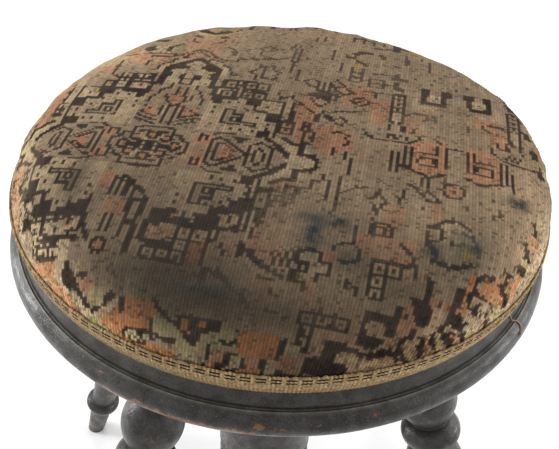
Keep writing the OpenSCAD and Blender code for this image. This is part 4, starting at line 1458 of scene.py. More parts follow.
def knot_colours(carpet, finish):
    """The colour of each knot, faded, stained and uneven, with painted light at the cushion's sides
    and painted shade toward its front, and how bare its pile is worn.
    """
    draw = np.random.default_rng(SEED)
    shape = carpet.wool.shape
    wools = (finish.ground, finish.dark, finish.cream, finish.salmon)
    wools += (finish.sage, finish.mustard, finish.teal, finish.orange)
    out = np.hypot(carpet.p, carpet.q - PILE_MIDDLE)
    pile = np.clip((out - PILE_FROM + PILE_RAGGED * mottle(draw, shape, 7)) / PILE_OVER, 0, 1)
    pile *= carpet.q < PILE_NEAR
    places = []
    for places_at, most in zip(np.indices(shape), shape):
        drift = (STRAY + PILE_STRAY * pile) * mottle(draw, shape, 4)
        places.append(np.clip(np.rint(places_at + drift), 0, most - 1).astype(int))
    ragged = carpet.wool[tuple(places)]
    slipped = draw.random(shape) < SLIPPED + PILE_SLIPPED * pile
    ragged[slipped] = np.roll(ragged, 1, 0)[slipped]
    colours = np.array([tuple(wool) for wool in wools])[ragged]

    worn = WORN + 0.10 * mottle(draw, shape, 10) + 0.10 * mottle(draw, shape, 4)
    for p, q, wide, tall, much in FADED:
        worn += much * patch(carpet, p, q, wide, tall)
    figured = ragged != DARK
    worn += WORN_KNOT * (draw.random(shape) < WORN_KNOTS) * figured
    worn = np.clip(worn, 0, WORN_MOST) * (1 - PILE_SPARED * pile)
    worn *= np.where(figured, 1, DARK_TAKES)
    colours += (np.array(finish.ground) - colours) * worn[..., None]
    for p, q, wide, tall, much in BLUSHED:
        blush = much * patch(carpet, p, q, wide, tall) * (0.75 + 0.5 * mottle(draw, shape, 6))
        colours += (np.array(finish.salmon) - colours) * (blush * figured)[..., None]

    shade = SHADE + 0.10 * mottle(draw, shape, 14) + 0.10 * mottle(draw, shape, 5)
    ribs, rows = draw.uniform(-1, 1, (1, shape[1])), draw.uniform(-1, 1, (shape[0], 1))
    shade *= 1 + 0.10 * ribs + 0.05 * rows
    shade *= 1 + (0.17 + 0.16 * pile) * draw.uniform(-1, 1, shape)
    specks = draw.random(shape) < SPECKS + 0.06 * mottle(draw, shape, 8) + 0.10 * pile
    shade[specks] *= SPECK
    # Painted light: knots up to a fifth brighter toward the cushion's sides
    shade *= 1 + 0.2 * np.clip((np.hypot(carpet.p, carpet.q) - 160) / 26, 0, 1)
    colours *= shade[..., None]
    # Bleaching toward cream, and painted light that makes the knots brighter
    for p, q, wide, tall, much in BLEACHED_AND_LIT:
        bleach_and_light = much * patch(carpet, p, q, wide, tall)
        paler = np.array(finish.cream) * colours.mean(-1, keepdims=True) / np.mean(finish.cream)
        colours += (paler - colours) * (0.5 * bleach_and_light)[..., None]
        colours *= 1 + bleach_and_light[..., None]
    # Dirt and painted shade: knots pulled toward the soot colour
    for p, q, wide, tall, much in SOILED_AND_SHADED:
        soil_and_shade = much * patch(carpet, p, q, wide, tall)
        colours += (np.array(finish.soot_and_shade) - colours) * soil_and_shade[..., None]
    for p, q, wide, tall, much in SNAGGED:
        snag = much * patch(carpet, p, q, wide, tall) * (0.6 + 0.4 * mottle(draw, shape, 2))
        snag = np.clip(snag, 0, 0.9)
        colours += (np.array(finish.teal) - colours) * snag[..., None]
    return np.clip(colours, 0, 1), 1 - pile


def on_carpet(p, q):
    """Where places on the carpet lie on the seat, right of and away from its middle: the
    ribs lean and the rows sag, because the carpet was pulled askew when it was tacked down."""
    lean = math.radians(RIB_LEAN)
    u, v = p, q
    for _ in range(SETTLE_ROUNDS):
        u = (p + math.sin(lean) * v) / math.cos(lean)
        v = q + ROW_TILT * u + ROW_SAG * u * u
    return u, v


def lumps(place):
    """How far the hair under the cover pushes it out, in metres."""
    return 1.1 * MM * noise.noise(place * 14 + Vector((0, 0, SEED))) + 0.5 * MM * noise.noise(
        place * 34 + Vector((SEED, 0, 0))
    )


@functools.lru_cache(maxsize=1)
def stuffing_push(settings):
    """How far the stuffing pushes the cover out at rings and sectors of the cushion, kept so
    that the cloth simulation runs once. The settings only say when it has to run again."""
    seat = bpy.context.scene.stool.seat
    line = walked(cushion_profile(seat, seat.cover), 4 * MM) + [(0, HEM)]
    bm = spun(line, 96)
    for vert in bm.verts:
        vert.co += vert.normal * lumps(vert.co)
    form = finished(bm, "stuffed_form", bpy.data.materials.new("form"))
    swell(form)
    tree = BVHTree.FromObject(form, bpy.context.evaluated_depsgraph_get())
    bpy.data.objects.remove(form, do_unlink=True)
    push = np.zeros((PUSH_RINGS, PUSH_SECTORS))
    steps, out, high, slope = cushion_table(seat)
    for ring, along in enumerate(np.linspace(0, steps[-1], PUSH_RINGS)):
        here_out, here_high, here_slope = (np.interp(along, steps, t) for t in (out, high, slope))
        for sector in range(PUSH_SECTORS):
            heading = 2 * math.pi * sector / PUSH_SECTORS
            level = Vector((math.cos(heading), math.sin(heading), 0))
            point = level * here_out + Vector((0, 0, here_high))
            way = level * math.sin(here_slope) + Vector((0, 0, math.cos(here_slope)))
            hit = tree.ray_cast(point + way * FEEL, -way, 2 * FEEL)[0]
            if hit:
                push[ring, sector] = (hit - point).dot(way) + seat.cover
    turned = np.linspace(0, 2 * math.pi, PUSH_SECTORS, endpoint=False) - math.radians(FULL_HEADING)
    turned = (turned + math.pi) % (2 * math.pi) - math.pi
    level = np.linspace(0, steps[-1], PUSH_RINGS) - FULL_ALONG
    side = np.exp(-((turned / math.radians(FULL_WIDE)) ** 2))
    fuller = FULL_HIGH * np.exp(-((level / FULL_DEEP) ** 2))[:, None] * side
    return np.clip(push, PUSH_LEAST, PUSH_MOST) + fuller


def swell(form):
    """Blows the form up under cloth pressure and keeps each point within reach of its start."""
    scene = bpy.context.scene
    remesh = form.modifiers.new("even", "REMESH")
    remesh.mode = "VOXEL"
    remesh.voxel_size = CLOTH_VOXEL
    bpy.context.view_layer.objects.active = form
    bpy.ops.object.modifier_apply(modifier=remesh.name)
    start = [v.co.copy() for v in form.data.vertices]
    cloth = form.modifiers.new("pressure", "CLOTH")
    cloth.settings.use_pressure = True
    cloth.settings.uniform_pressure_force = CLOTH_PRESSURE
    cloth.settings.quality = 4
    cloth.settings.effector_weights.gravity = 0
    for step in range(CLOTH_FRAMES):
        scene.frame_set(step + 1)
    moved = form.evaluated_get(bpy.context.evaluated_depsgraph_get())
    places = [v.co.copy() for v in moved.data.vertices]
    form.modifiers.remove(cloth)
    scene.frame_set(1)
    for vert, before, after in zip(form.data.vertices, start, places):
        move = after - before
        vert.co = before + move * min(1.0, SWELL / max(move.length, SWELL))


def cushion_table(seat):
    """Arc lengths down the cushion, with the radius, height and slope at each."""
    steps = np.linspace(0, hem_length(seat), 400)
    out, high = np.array([cushion_point(seat, along) for along in steps]).T
    slope = np.arctan2(-np.gradient(high), np.gradient(out))
    return steps, out, high, slope


def leaned(seat, points, round_by):
    """Points of the padding moved with the crown, which has settled to one side."""
    part = np.clip((points[:, 2] - BOARD_LOW - seat.board) / (CROWN - BOARD_LOW - seat.board), 0, 1)
    part = part * part * (3 - 2 * part)
    aside, away = LOPSIDED
    way_x = aside * math.cos(round_by) - away * math.sin(round_by)
    way_y = aside * math.sin(round_by) + away * math.cos(round_by)
    return points + part[:, None] * np.array((way_x, way_y, 0))


class Cushion:
    """Puts places on the seat's flat pattern onto the stuffed cushion."""

    def __init__(self, seat):
        self.seat = seat
        self.hem = hem_length(seat)
        self.table = cushion_table(seat)
        self.push = stuffing_push((seat.bulge, seat.shoulder, seat.cover))
        self.round_by = bpy.context.scene.stool.view.round_by

    def pushed(self, along, heading):
        """How far the stuffing pushes the cover out at places, smooth between the rings."""
        ring = along / self.hem * (PUSH_RINGS - 1)
        sector = heading / (2 * math.pi) * PUSH_SECTORS
        low = np.minimum(ring.astype(int), PUSH_RINGS - 2)
        left = np.floor(sector).astype(int)
        up, across = ring - low, sector - left
        near, far = left % PUSH_SECTORS, (left + 1) % PUSH_SECTORS
        inner = self.push[low, near] * (1 - across) + self.push[low, far] * across
        outer = self.push[low + 1, near] * (1 - across) + self.push[low + 1, far] * across
        free = 1 - np.clip((along - self.hem + HELD) / HELD_RAMP, 0, 1)
        return (inner * (1 - up) + outer * up) * free

    def places(self, along, heading, lift=0.0):
        """Points of the cover at arc lengths from the crown, in directions, and off it."""
        along = np.minimum(along, self.hem)
        steps = self.table[0]
        out, high, slope = (np.interp(along, steps, column) for column in self.table[1:])
        lift = np.maximum(lift + self.pushed(along, heading), CLEAR - self.seat.cover)
        out = out + lift * np.sin(slope)
        high = high + lift * np.cos(slope)
        heading = heading + self.round_by
        points = np.stack((out * np.cos(heading), out * np.sin(heading), high), -1)
        return leaned(self.seat, points, self.round_by)


def knot_layer(bm, name):
    """Where each point's carpet place is kept until the knots have their colours."""
    return bm.verts.layers.float_vector.get(name) or bm.verts.layers.float_vector.new(name)


class STOOL_OT_carpet_cover(Operator):
    """Tacks the worn figured carpet over the stuffed cushion, knot by knot"""

    bl_idname = "stool.carpet_cover"
    bl_label = "Carpet cover"

    def execute(self, context):
        stool = context.scene.stool
        cushion = Cushion(stool.seat)
        carpet = Carpet(RIB, ROW, REACH)
        figure(carpet)
        colours, bare = knot_colours(carpet, stool.finish)
        bm = bmesh.new()
        bmesh.ops.create_grid(bm, x_segments=2 * carpet.columns, y_segments=carpet.rows, size=0.5)
        wide, tall = carpet.columns * carpet.rib, carpet.rows * carpet.row
        bmesh.ops.scale(bm, vec=(wide, tall, 1), verts=bm.verts)
        hem = cushion.hem / MM
        u, v = on_carpet(*np.array([vert.co[:2] for vert in bm.verts]).T)
        outside = [vert for vert, out in zip(bm.verts, np.hypot(u, v)) if out > hem - 0.4]
        bmesh.ops.delete(bm, geom=outside, context="VERTS")
        spun_off = [vert for vert in bm.verts if not vert.link_faces]
        bmesh.ops.delete(bm, geom=spun_off, context="VERTS")
        flat = np.array([vert.co[:2] for vert in bm.verts])
        rim = np.array([vert.is_boundary for vert in bm.verts])
        u, v = on_carpet(*flat.T)
        along = np.where(rim, hem, np.hypot(u, v)) * MM
        worn = bare[knot_at(carpet, flat)]
        draw = np.random.default_rng(SEED)
        out = np.hypot(u, v)
        loose = np.clip((out - LOOSE_FROM) / LOOSE_OVER, 0, 1)
        tuft = draw.uniform(-1, 0, len(flat)) * np.maximum(1 - worn, 0.5 * loose)
        lift = (crests(carpet, flat) - 1) * RIB_RELIEF * (0.6 + 0.4 * worn) + tuft * TUFT
        loose = loose * np.clip((hem - HEM_CALM - out) / HEM_FADE, 0, 1)
        for size, much in ROUGH:
            bumps = [noise.noise(Vector((x / size, y / size, size))) for x, y in zip(u, v)]
            lift = lift + much * loose * np.array(bumps)
        for p, q, wide, tall, much in SNAGGED:
            near = np.exp(-(((flat[:, 0] - p) / wide) ** 2) - ((flat[:, 1] - q) / tall) ** 2)
            lift = lift + near * much * SNAG * draw.uniform(0.3, 1, len(flat))
        points = cushion.places(along, np.arctan2(v, u), np.where(rim, 0, lift))
        kept = knot_layer(bm, "flat")
        for vert, place, point in zip(bm.verts, flat, points):
            vert[kept] = (*place, 0)
            vert.co = point
        close_underneath(bm, cushion)
        piece = finished(bm, "carpet_cover", carpet_pile())
        colour_knots(piece.data, carpet, colours, bare)
        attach(piece, "seat")
        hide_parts("seat_cover")
        return {"FINISHED"}


def knot_at(carpet, flat):
    """The row and column of the knots at places on the carpet."""
    column = (flat[:, 0] / carpet.rib + carpet.columns / 2).astype(int)
    row = (flat[:, 1] / carpet.row + carpet.rows / 2).astype(int)
    return np.clip(row, 0, carpet.rows - 1), np.clip(column, 0, carpet.columns - 1)


def crests(carpet, flat):
    """1 for places on a rib's crest and 0 for those in a valley between ribs."""
    return np.round(flat[:, 0] / carpet.rib * 2) % 2


def colour_knots(mesh, carpet, colours, bare):
    """Stores each face's knot colour, with painted shade in the valleys between the ribs and painted
    light on their crests.
    """
    flat = np.empty(3 * len(mesh.vertices))
    mesh.attributes["flat"].data.foreach_get("vector", flat)
    flat = flat.reshape(-1, 3)[:, :2]
    corners = np.empty(len(mesh.loops), int)
    mesh.loops.foreach_get("vertex_index", corners)
    starts = np.empty(len(mesh.polygons), int)
    totals = np.empty(len(mesh.polygons), int)
    mesh.polygons.foreach_get("loop_start", starts)
    mesh.polygons.foreach_get("loop_total", totals)
    middles = np.add.reduceat(flat[corners], starts) / totals[:, None]
    shades = np.repeat(colours[knot_at(carpet, middles)], totals, axis=0)
    met = np.zeros((len(mesh.vertices), 3))
    count = np.bincount(corners, minlength=len(met))
    for channel in range(3):
        met[:, channel] = np.bincount(corners, shades[:, channel], len(met)) / count
    shades += BLEED * (met[corners] - shades)
    worn = bare[knot_at(carpet, flat)]
    pile = 1 - worn[corners]
    # Painted shade in the valleys between the ribs and painted light on their crests, more in thick
    # pile
    shades *= (0.80 - 0.16 * pile + (0.30 + 0.24 * pile) * crests(carpet, flat)[corners])[:, None]
    shades = np.hstack((shades, np.ones((len(shades), 1))))
    layer = mesh.color_attributes.new("knot", "FLOAT_COLOR", "CORNER")
    layer.data.foreach_set("color", shades.ravel())
    layer = mesh.attributes.new("bare", "FLOAT", "POINT")
    layer.data.foreach_set("value", worn)
    mesh.attributes.remove(mesh.attributes["flat"])


def close_underneath(bm, cushion):
    """Turns the carpet's edge under and gives it a plain back, so that the skin is closed."""
    seat = cushion.seat
    edges = [e for e in bm.edges if e.is_boundary]
    for ring in range(BACK_RINGS + 1):
        along = cushion.hem * (1 - ring / BACK_RINGS)
        made = bmesh.ops.extrude_edge_only(bm, edges=edges)["geom"]
        edges = [g for g in made if isinstance(g, bmesh.types.BMEdge)]
        fresh = [g for g in made if isinstance(g, bmesh.types.BMVert)]
        out, high = cushion_point(seat, along, seat.cover)
        heading = [math.atan2(vert.co.y, vert.co.x) for vert in fresh]
        points = np.array([(out * math.cos(h), out * math.sin(h), high) for h in heading])
        for vert, point in zip(fresh, leaned(seat, points, cushion.round_by)):
            vert.co = point
    bmesh.ops.remove_doubles(bm, verts=bm.verts, dist=1e-5)
    bmesh.ops.recalc_face_normals(bm, faces=bm.faces)


class STOOL_OT_selvedge_band(Operator):
    """Lays the woven selvedge with its double row of stitches round the cushion's foot"""

    bl_idname = "stool.selvedge_band"
    bl_label = "Selvedge band"

    def execute(self, context):
        stool = context.scene.stool
        seat = stool.seat
        cushion = Cushion(seat)
        around = 2 * math.pi * COVER_R
        columns = SLICES * round(around / BAND_THREAD / SLICES)
        rows = 2 * round(seat.band_width / BAND_ROW / 2)
        bm = spun([(1, i / rows) for i in range(rows + 1)], columns)
        colour_of = bm.loops.layers.float_color.new("knot")
        for face in bm.faces:
            middle = face.calc_center_median()
            heading = math.atan2(middle.y, middle.x)
            column = round((heading / (2 * math.pi)) * columns - 0.5)
            row = int(middle.z * rows)
            shade = band_colour(stool.finish, column, row, rows)
            for loop in face.loops:
                loop[colour_of] = (*shade, 1)
        flat = np.array([vert.co[:] for vert in bm.verts])
        heading = np.arctan2(flat[:, 1], flat[:, 0])
        column = np.round(heading / (2 * math.pi) * columns)
        row = np.round(flat[:, 2] * rows)
        weave = (column + row) % 2 * BAND_RELIEF + (column % 2) * BAND_CORD
        wave = [0.5 * MM * noise.noise(Vector((x, y, SEED)) * 6) for x, y, _ in flat]
        along = cushion.hem - flat[:, 2] * seat.band_width - np.array(wave) * (row > 0)
        ragged = np.array([noise.noise(Vector((x, y, 0)) * 90) for x, y, _ in flat])
        lift = seat.band_thick + weave - 0.5 * MM * (row == rows)
        along = along - ragged * MM * (row == rows)
        for vert, point in zip(bm.verts, cushion.places(along, heading, lift)):
            vert.co = point
        bmesh.ops.recalc_face_normals(bm, faces=bm.faces)
        bmesh.ops.solidify(bm, geom=bm.faces[:], thickness=seat.band_thick - 0.2 * MM)
        piece = finished(bm, "selvedge_band", woven_selvedge())
        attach(piece, "seat")
        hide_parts("edge_band")
        return {"FINISHED"}


class STOOL_OT_loose_thread(Operator):
    """Hangs a broken thread of the selvedge over the rim"""

    bl_idname = "stool.loose_thread"
    bl_label = "Loose thread"

    def execute(self, context):
        stool = context.scene.stool
        seat = stool.seat
        off = seat.nose + THREAD_THICK * 0.55
        first, last = (math.radians(up) for up in THREAD_OVER)
        line = [(BOARD_R - seat.ledge_in + THREAD_THICK, HEM + THREAD_THICK)]
        line += arc(*nose_middle(seat), off, first, last, len(THREAD_HEADINGS) - 2)
        points = [
            Vector((out * math.cos(math.radians(h)), out * math.sin(math.radians(h)), high))
            for (out, high), h in zip(line, THREAD_HEADINGS)
        ]
        way = (points[-1] - points[0]).to_track_quat("Z", "Y").to_matrix().to_4x4()
        bm = bmesh.new()
        bmesh.ops.create_circle(
            bm,
            segments=THREAD_ROUND,
            radius=THREAD_THICK / 2,
            matrix=Matrix.Translation(points[0]) @ way,
        )
        edges = bm.edges[:]
        for before, here in zip(points, points[1:]):
            made = bmesh.ops.extrude_edge_only(bm, edges=edges)["geom"]
            edges = [g for g in made if isinstance(g, bmesh.types.BMEdge)]
            fresh = [g for g in made if isinstance(g, bmesh.types.BMVert)]
            bmesh.ops.translate(bm, vec=here - before, verts=fresh)
        bmesh.ops.holes_fill(bm, edges=bm.edges)
        bmesh.ops.recalc_face_normals(bm, faces=bm.faces)
        # Painted light: the thread's flax is 1.7 times as bright as the selvedge it comes from
        flax = plain_cloth("lit_flax_thread", tuple(1.7 * c for c in stool.finish.selvedge), 1500)
        piece = finished(bm, "loose_thread", flax)
        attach(piece, "seat")
        return {"FINISHED"}


def band_colour(finish, column, row, rows):
    """The selvedge's flax, with two dashed rows of dark stitches near its upper edge, and painted
    light and shade on alternate threads.
    """
    # Painted light and shade: alternate threads lighter and darker, as lit cords and shaded hollows
    tone = (0.60 + 0.80 * random.random()) * (0.80 if column % 2 else 1.12)
    from_top = rows - 1 - row
    if from_top in STITCH_ROWS and column % STITCH_PITCH < STITCH_LENGTH:
        return tuple(0.6 * c for c in finish.dark)
    if from_top > 8:
        tone *= 0.86
    if row == 0 and random.random() < 0.5:
        tone *= 0.4
    return tuple(tone * c for c in finish.selvedge)


def lean_layer(bm, seat):
    """Moves a hidden layer of the padding with the crown."""
    points = np.array([vert.co[:] for vert in bm.verts])
    for vert, point in zip(bm.verts, leaned(seat, points, bpy.context.scene.stool.view.round_by)):
        vert.co = point


class STOOL_OT_padding(Operator):
    """Puts the calico and the curled hair under the carpet"""

    bl_idname = "stool.padding"
    bl_label = "Padding"

    def execute(self, context):
        stool = context.scene.stool
        seat = stool.seat
        inner = seat.cover + seat.lining
        outside = cushion_profile(seat, seat.cover, 2 * MM)
        inside = cushion_profile(seat, inner - 0.1 * MM, 2 * MM)
        calico = spun(outside + inside[::-1], 128)
        lean_layer(calico, seat)
        calico = finished(calico, "calico", plain_cloth("calico", (0.48, 0.42, 0.31), 1500))
        line = [p for p in cushion_profile(seat, inner, 2 * MM) if p[1] > BOARD_LOW + seat.board]
        line.append((line[-1][0], BOARD_LOW + seat.board))
        hair = spun(line + [(0, line[-1][1])], 128)
        hair = weathered(hair, lambda point: (0, 0), 0.1 * MM, 200)
        lean_layer(hair, seat)
        hair = finished(hair, "curled_hair", plain_cloth("curled_hair", (0.11, 0.075, 0.045), 500))
        for piece, node, slot in (
            (calico, "calico_lining", "calico"),
            (hair, "stuffing", "horsehair"),
        ):
            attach(piece, "seat")
            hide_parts(node)
        return {"FINISHED"}


# Stand


def column_profile(stand):
    """The column's outside from its lower end up to the top of its spigot, and its bore."""
    drum, bore, top = stand.column / 2, stand.bore / 2, stand.column_top / 2
    fillet = drum - (drum - bore) / 5
    waist = (drum + bore) / 2
    tall = PLATFORM_LOW - COLUMN_LOW
    outside = stacked(
        [
            (0.060 * tall, swelling, fillet, drum),
            (0.030 * tall, straight, fillet, fillet),
            (0.055 * tall, swelling, drum, fillet),
            (0.030 * tall, swelling, fillet, drum),
            (0.420 * tall, straight, drum, drum),
            (0.030 * tall, swelling, waist, drum),
            (0.195 * tall, swelling, waist, drum),
            (0.080 * tall, swelling, fillet, waist),
            (0.100 * tall, swelling, (drum + top) / 2, top),
        ],
        COLUMN_LOW,
    )
    spigot = [(stand.spigot / 2, PLATFORM_LOW), (stand.spigot / 2, SPIGOT_TOP)]
    return outside, spigot, [(bore, SPIGOT_TOP), (bore, COLUMN_LOW)]


def finial_profile(stand):
    """The drop finial's outline from its tip up to its plug."""
    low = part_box("drop_finial")[0][2]
    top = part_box("drop_finial")[1][2]
    ball, bore = stand.finial_ball / 2, stand.bore / 2
    collar = (stand.column + stand.bore) / 4
    turnings = [
        (0.18 * stand.finial, straight, ball / 4, ball / 2),
        (0.52 * stand.finial, swelling, ball / 2, ball),
        (0.14 * stand.finial, straight, ball / 2, ball / 2),
        (0.16 * stand.finial, straight, ball, collar),
    ]
    return [(0, low)] + stacked(turnings, low) + [(bore, COLUMN_LOW), (bore, top), (0, top)]


class STOOL_OT_column(Operator):
    """Turns the hollow column and the drop finial that closes it"""

    bl_idname = "stool.column"
    bl_label = "Column and finial"

    def execute(self, context):
        stool = context.scene.stool
        outside, spigot, bore = column_profile(stool.stand)
        shown = softened(walked(outside, FINE), 2)
        wood = ebonised_wood(stool.finish)
        column = weathered(spun(shown + spigot + bore, 192, closed=True), column_wear)
        column = finished(column, "turned_column", wood)
        line = softened(walked(finial_profile(stool.stand), FINE), 1)
        finial = finished(weathered(spun(line, 128), column_wear), "turned_finial", wood)
        for piece, node in ((column, "column"), (finial, "drop_finial")):
            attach(piece, "stand")
            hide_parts(node)
        return {"FINISHED"}


def column_wear(point):
    """Light rubbing and dust all over the column."""
    return 0.16 + 0.12 * noise.noise(point * 30), 0.10


def leg_profile(leg, axis_l):
    """A leg's outline along its own axis, run on at both ends so that it can be trimmed."""
    neck, ball, shank = leg.neck / 2, leg.ball / 2, leg.shank_top / 2
    ring_low = leg.ring_at - leg.ring_thick / 2
    upper = axis_l - ring_low - leg.ring_thick - leg.shank - leg.reel
    turnings = [
        (leg.peg, straight, leg.peg / 2, leg.peg / 2),
        (ring_low, straight, leg.peg / 2, leg.ankle / 2),
        (leg.ring_thick, swelling, leg.ankle / 2, leg.ring / 2),
        (leg.shank, straight, leg.shank_low / 2, shank),
        (leg.reel, swelling, shank, shank + leg.reel / 3),
        (0.358 * upper, swelling, neck, ball),
        (0.072 * upper, swelling, neck, (ball + shank) / 2),
        (0.200 * upper, swelling, neck, ball),
        (0.087 * upper, swelling, neck, ball),
        (0.187 * upper, swelling, neck, ball),
        (0.096 * upper + leg.peg, straight, shank, leg.collar / 2),
    ]
    return stacked(turnings, -leg.peg)


class STOOL_OT_legs(Operator):
    """Turns the four splayed legs with their tenons, and trims them to the floor and platform"""

    bl_idname = "stool.legs"
    bl_label = "Legs"

    def execute(self, context):
        stool = context.scene.stool
        stand, leg = stool.stand, stool.leg
        wood = ebonised_wood(stool.finish)
        axis_l = PLATFORM_LOW / math.cos(stand.splay)
        line = softened(walked(leg_profile(leg, axis_l), 1 * MM), 2)
        line = [(0, line[0][1]), *line, (0, line[-1][1])]
        through = PLATFORM_TOP / math.cos(stand.splay) + stand.tenon
        tenon_r = stand.tenon / 2 - 0.02 * MM
        tenon = [(0, axis_l - stand.tenon), (tenon_r, axis_l - stand.tenon)]
        tenon += [(tenon_r, through), (0, through)]
        body_skin, tenon_skin = spun(line, 80), spun(walked(tenon, 4 * MM), 64)
        for quarter, corner in enumerate(LEG_NODES):
            onto = (
                Matrix.Rotation(math.radians(45 + 90 * quarter), 4, "Z")
                @ Matrix.Translation((stand.spread, 0, 0))
                @ Matrix.Rotation(-stand.splay, 4, "Y")
            )
            wear = leg_wear(leg, quarter)
            bm = weathered(body_skin.copy(), wear)
            bmesh.ops.transform(bm, matrix=onto, verts=bm.verts)
            cut_level(bm, 0, True)
            cut_level(bm, PLATFORM_LOW, False)
            body = finished(bm, f"turned_{corner}", wood)
            bm = weathered(tenon_skin.copy(), lambda point: (0.75, 0), 0)
            bmesh.ops.transform(bm, matrix=onto, verts=bm.verts)
            cut_level(bm, PLATFORM_LOW, True)
            cut_level(bm, PLATFORM_TOP, False)
            end = finished(bm, f"{corner}_tenon", wood)
            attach(body, "stand")
            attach(end, "stand")
            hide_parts(corner)
        return {"FINISHED"}


def leg_wear(leg, quarter):
    """Where a leg's black has rubbed off: the foot, the ring's edges and the necks."""

    def wear(point):
        near_ring = gauss(point.z - leg.ring_at + leg.ring_thick / 2, 3 * MM)
        near_floor = gauss(point.z, 14 * MM)
        spot = noise.noise(point * 40 + Vector((0, 0, 3 * quarter)))
        return 0.12 + 0.20 * near_ring + 0.30 * near_floor + 0.14 * spot, 0.06 + 0.1 * near_ring

    return wear


class STOOL_OT_seat_screw(Operator):
    """Cuts the seat's iron screw with its round thread and plain ends"""

    bl_idname = "stool.seat_screw"
    bl_label = "Seat screw"

    def execute(self, context):
        stool = context.scene.stool
        thread = stool.thread
        low, top = (corner[2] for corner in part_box("seat_screw"))
        thread_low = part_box("stop_washer")[1][2]
        thread_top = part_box("seat_plate")[0][2]
        bm = bmesh.new()
        root, outer = thread.outer / 2 - thread.depth, thread.outer / 2
        waves = 12
        verts = []
        for k in range(waves + 1):
            crest = (1 + math.cos(2 * math.pi * k / waves)) / 2
            height = thread_low - thread.pitch * (1.5 - k / waves)
            verts.append(bm.verts.new((root + (outer - root) * crest, 0, height)))
        edges = [bm.edges.new(pair) for pair in zip(verts, verts[1:])]
        turns = math.ceil((thread_top - thread_low) / thread.pitch) + 1
        bmesh.ops.spin(
            bm,
            geom=verts + edges,
            dvec=(0, 0, thread.pitch / THREAD_SIDES),
            angle=2 * math.pi,
            steps=THREAD_SIDES,
            **ROUND_Z,
        )
        bmesh.ops.spin(
            bm,
            geom=bm.verts[:] + bm.edges[:] + bm.faces[:],
            dvec=(0, 0, thread.pitch),
            angle=2 * math.pi * turns,
            steps=turns,
            use_duplicate=True,
            **ROUND_Z,
        )
        bmesh.ops.remove_doubles(bm, verts=bm.verts, dist=1e-5)
        for vert in bm.verts:
            run_out = min(vert.co.z - thread_low, thread_top - vert.co.z) / (thread.pitch / 2)
            out = math.hypot(vert.co.x, vert.co.y)
            out_now = root + (out - root) * min(1, max(0, run_out))
            vert.co.x *= out_now / out
            vert.co.y *= out_now / out
        cut_level(bm, thread_low, True)
        cut_level(bm, thread_top, False)
        bmesh.ops.recalc_face_normals(bm, faces=bm.faces)
        for spigot, from_z, to_z in (
            (thread.low_spigot, low, thread_low),
            (thread.top_spigot, thread_top, top),
        ):
            place = Matrix.Translation((0, 0, (from_z + to_z) / 2))
            bmesh.ops.create_cone(
                bm,
                cap_ends=True,
                segments=64,
                radius1=spigot / 2,
                radius2=spigot / 2,
                depth=to_z - from_z,
                matrix=place,
            )
        piece = finished(bm, "threaded_screw", old_iron(stool.finish, "screw_steel", 0.25))
        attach(piece, "seat")
        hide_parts("seat_screw")
        return {"FINISHED"}


class STOOL_OT_ironwork(Operator):
    """Gives the iron, steel, leather and bare wood pieces their finishes"""

    bl_idname = "stool.ironwork"
    bl_label = "Ironwork and small pieces"

    def execute(self, context):
        finish = context.scene.stool.finish
        iron = old_iron(finish, "cast_iron")
        steel = old_iron(finish, "small_steel", 0.12)
        plain_black = ebonised_wood(finish)
        looks = {
            "seat_plate": iron,
            "screw_nut": iron,
            "stop_washer": iron,
            "stop_nut": iron,
            "plate_screws": steel,
            "nut_screws": steel,
            "cover_tacks": steel,
            "buffer_washer": buffer_leather(finish),
            "platform": plain_black,
            "tenon_wedges": bare_wood(),
        }
        for node, material in looks.items():
            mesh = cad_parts[node].data
            mesh.materials.clear()
            mesh.materials.append(material)
        return {"FINISHED"}


# Stage


class STOOL_OT_camera(Operator):
    """Stands the camera where the photograph was taken from"""

    bl_idname = "stool.camera"
    bl_label = "Camera"

    def execute(self, context):
        view = context.scene.stool.view
        data = bpy.data.cameras.new("camera")
        data.lens = view.focal
        data.sensor_fit = "HORIZONTAL"
        data.sensor_width = 36
        data.clip_start = 0.01
        camera = bpy.data.objects.new("camera", data)
        context.scene.collection.objects.link(camera)
        aim = Vector((0, 0, BOARD_LOW + context.scene.stool.seat.nose))
        away = Vector((0, -math.cos(view.rise), math.sin(view.rise)))
        facing = Matrix(((1, 0, 0), (0, math.sin(view.rise), math.cos(view.rise)), away))
        turned = (
            Matrix.Rotation(view.roll, 3, "Z")
            @ Matrix.Rotation(view.tilt, 3, "X")
            @ Matrix.Rotation(view.pan, 3, "Y")
            @ facing
        )
        place = Matrix.Translation(aim + away * view.distance) @ turned.transposed().to_4x4()
        camera.matrix_world = Matrix.Rotation(view.round_by, 4, "Z") @ place
        context.scene.camera = camera
        return {"FINISHED"}


def soft_box(name, size, power, place, aim):
    """A square lamp that points at a place."""
    data = bpy.data.lights.new(name, "AREA")
    data.shape = "RECTANGLE"
    data.size, data.size_y = size
    data.energy = power
    lamp = bpy.data.objects.new(name, data)
    bpy.context.scene.collection.objects.link(lamp)
    lamp.location = place
    lamp.rotation_euler = (Vector(aim) - Vector(place)).to_track_quat("-Z", "Y").to_euler()


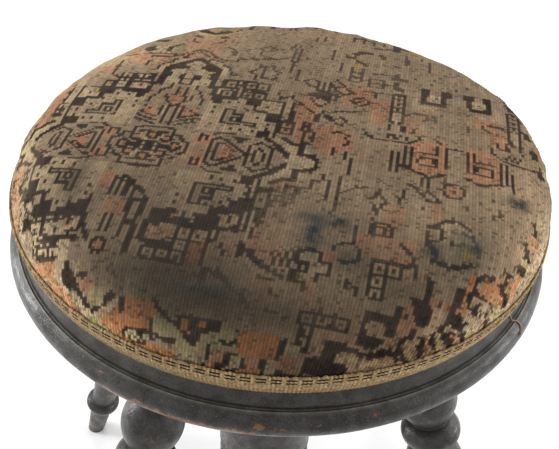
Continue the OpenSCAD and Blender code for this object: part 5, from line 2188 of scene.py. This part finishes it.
class STOOL_OT_stage(Operator):
    """Sets the pale floor, the white surroundings and the soft lamps"""

    bl_idname = "stool.stage"
    bl_label = "Studio"

    def execute(self, context):
        scene = context.scene
        scene.view_settings.view_transform = "Standard"
        bm = bmesh.new()
        bmesh.ops.create_grid(bm, x_segments=1, y_segments=1, size=FLOOR_HALF)
        pale = Recipe("floor").finish(
            Base_Color=scene.stool.finish.floor, Roughness=0.9, Specular_IOR_Level=0.1
        )
        floor = finished(bm, "floor", pale, smooth=False)
        world = bpy.data.worlds.new("studio")
        scene.world = world
        world.use_nodes = True
        tree = world.node_tree
        background = tree.nodes["Background"]
        path = tree.nodes.new("ShaderNodeLightPath")
        seen = tree.nodes.new("ShaderNodeMath")
        seen.operation = "MAXIMUM"
        tree.links.new(path.outputs["Is Camera Ray"], seen.inputs[0])
        tree.links.new(path.outputs["Is Glossy Ray"], seen.inputs[1])
        strength = tree.nodes.new("ShaderNodeMapRange")
        tree.links.new(seen.outputs[0], strength.inputs[0])
        strength.inputs[3].default_value = SURROUNDINGS
        strength.inputs[4].default_value = BACKDROP
        tree.links.new(strength.outputs[0], background.inputs["Strength"])
        background.inputs["Color"].default_value = (1, 1, 1, 1)
        for name, size, power, place in LAMPS:
            soft_box(name, size, power, place, AIM)
        return {"FINISHED"}


class STOOL_PT_panel(Panel):
    """The stool's settings and steps in the sidebar"""

    bl_idname = "STOOL_PT_panel"
    bl_label = "Revolving piano stool"
    bl_space_type = "VIEW_3D"
    bl_region_type = "UI"
    bl_category = "Stool"

    def draw(self, context):
        for step in STEPS:
            self.layout.operator(f"stool.{step}")
        stool = context.scene.stool
        for group in ("seat", "stand", "leg", "thread", "finish", "view"):
            box = self.layout.box()
            box.label(text=group.capitalize())
            settings = getattr(stool, group)
            for name in settings.bl_rna.properties.keys():
                if name not in ("rna_type", "name"):
                    box.prop(settings, name)


STEPS = (
    "camera",
    "stage",
    "seat_board",
    "padding",
    "carpet_cover",
    "selvedge_band",
    "loose_thread",
    "column",
    "legs",
    "seat_screw",
    "ironwork",
)

CLASSES = (
    STOOL_PG_seat,
    STOOL_PG_stand,
    STOOL_PG_leg,
    STOOL_PG_thread,
    STOOL_PG_finish,
    STOOL_PG_camera,
    STOOL_PG_stool,
    STOOL_OT_camera,
    STOOL_OT_stage,
    STOOL_OT_seat_board,
    STOOL_OT_padding,
    STOOL_OT_carpet_cover,
    STOOL_OT_selvedge_band,
    STOOL_OT_loose_thread,
    STOOL_OT_column,
    STOOL_OT_legs,
    STOOL_OT_seat_screw,
    STOOL_OT_ironwork,
    STOOL_PT_panel,
)


def register():
    """Adds the stool's settings, operators and panel."""
    for made in CLASSES:
        bpy.utils.register_class(made)
    bpy.types.Scene.stool = PointerProperty(type=STOOL_PG_stool)


def unregister():
    """Takes the stool's settings, operators and panel away."""
    del bpy.types.Scene.stool
    for made in reversed(CLASSES):
        bpy.utils.unregister_class(made)


def main():
    """Sets up the stool and its studio, one operator after another."""
    register()
    random.seed(SEED)
    for step in STEPS:
        getattr(bpy.ops.stool, step)()


if __name__ == "__main__":
    main()
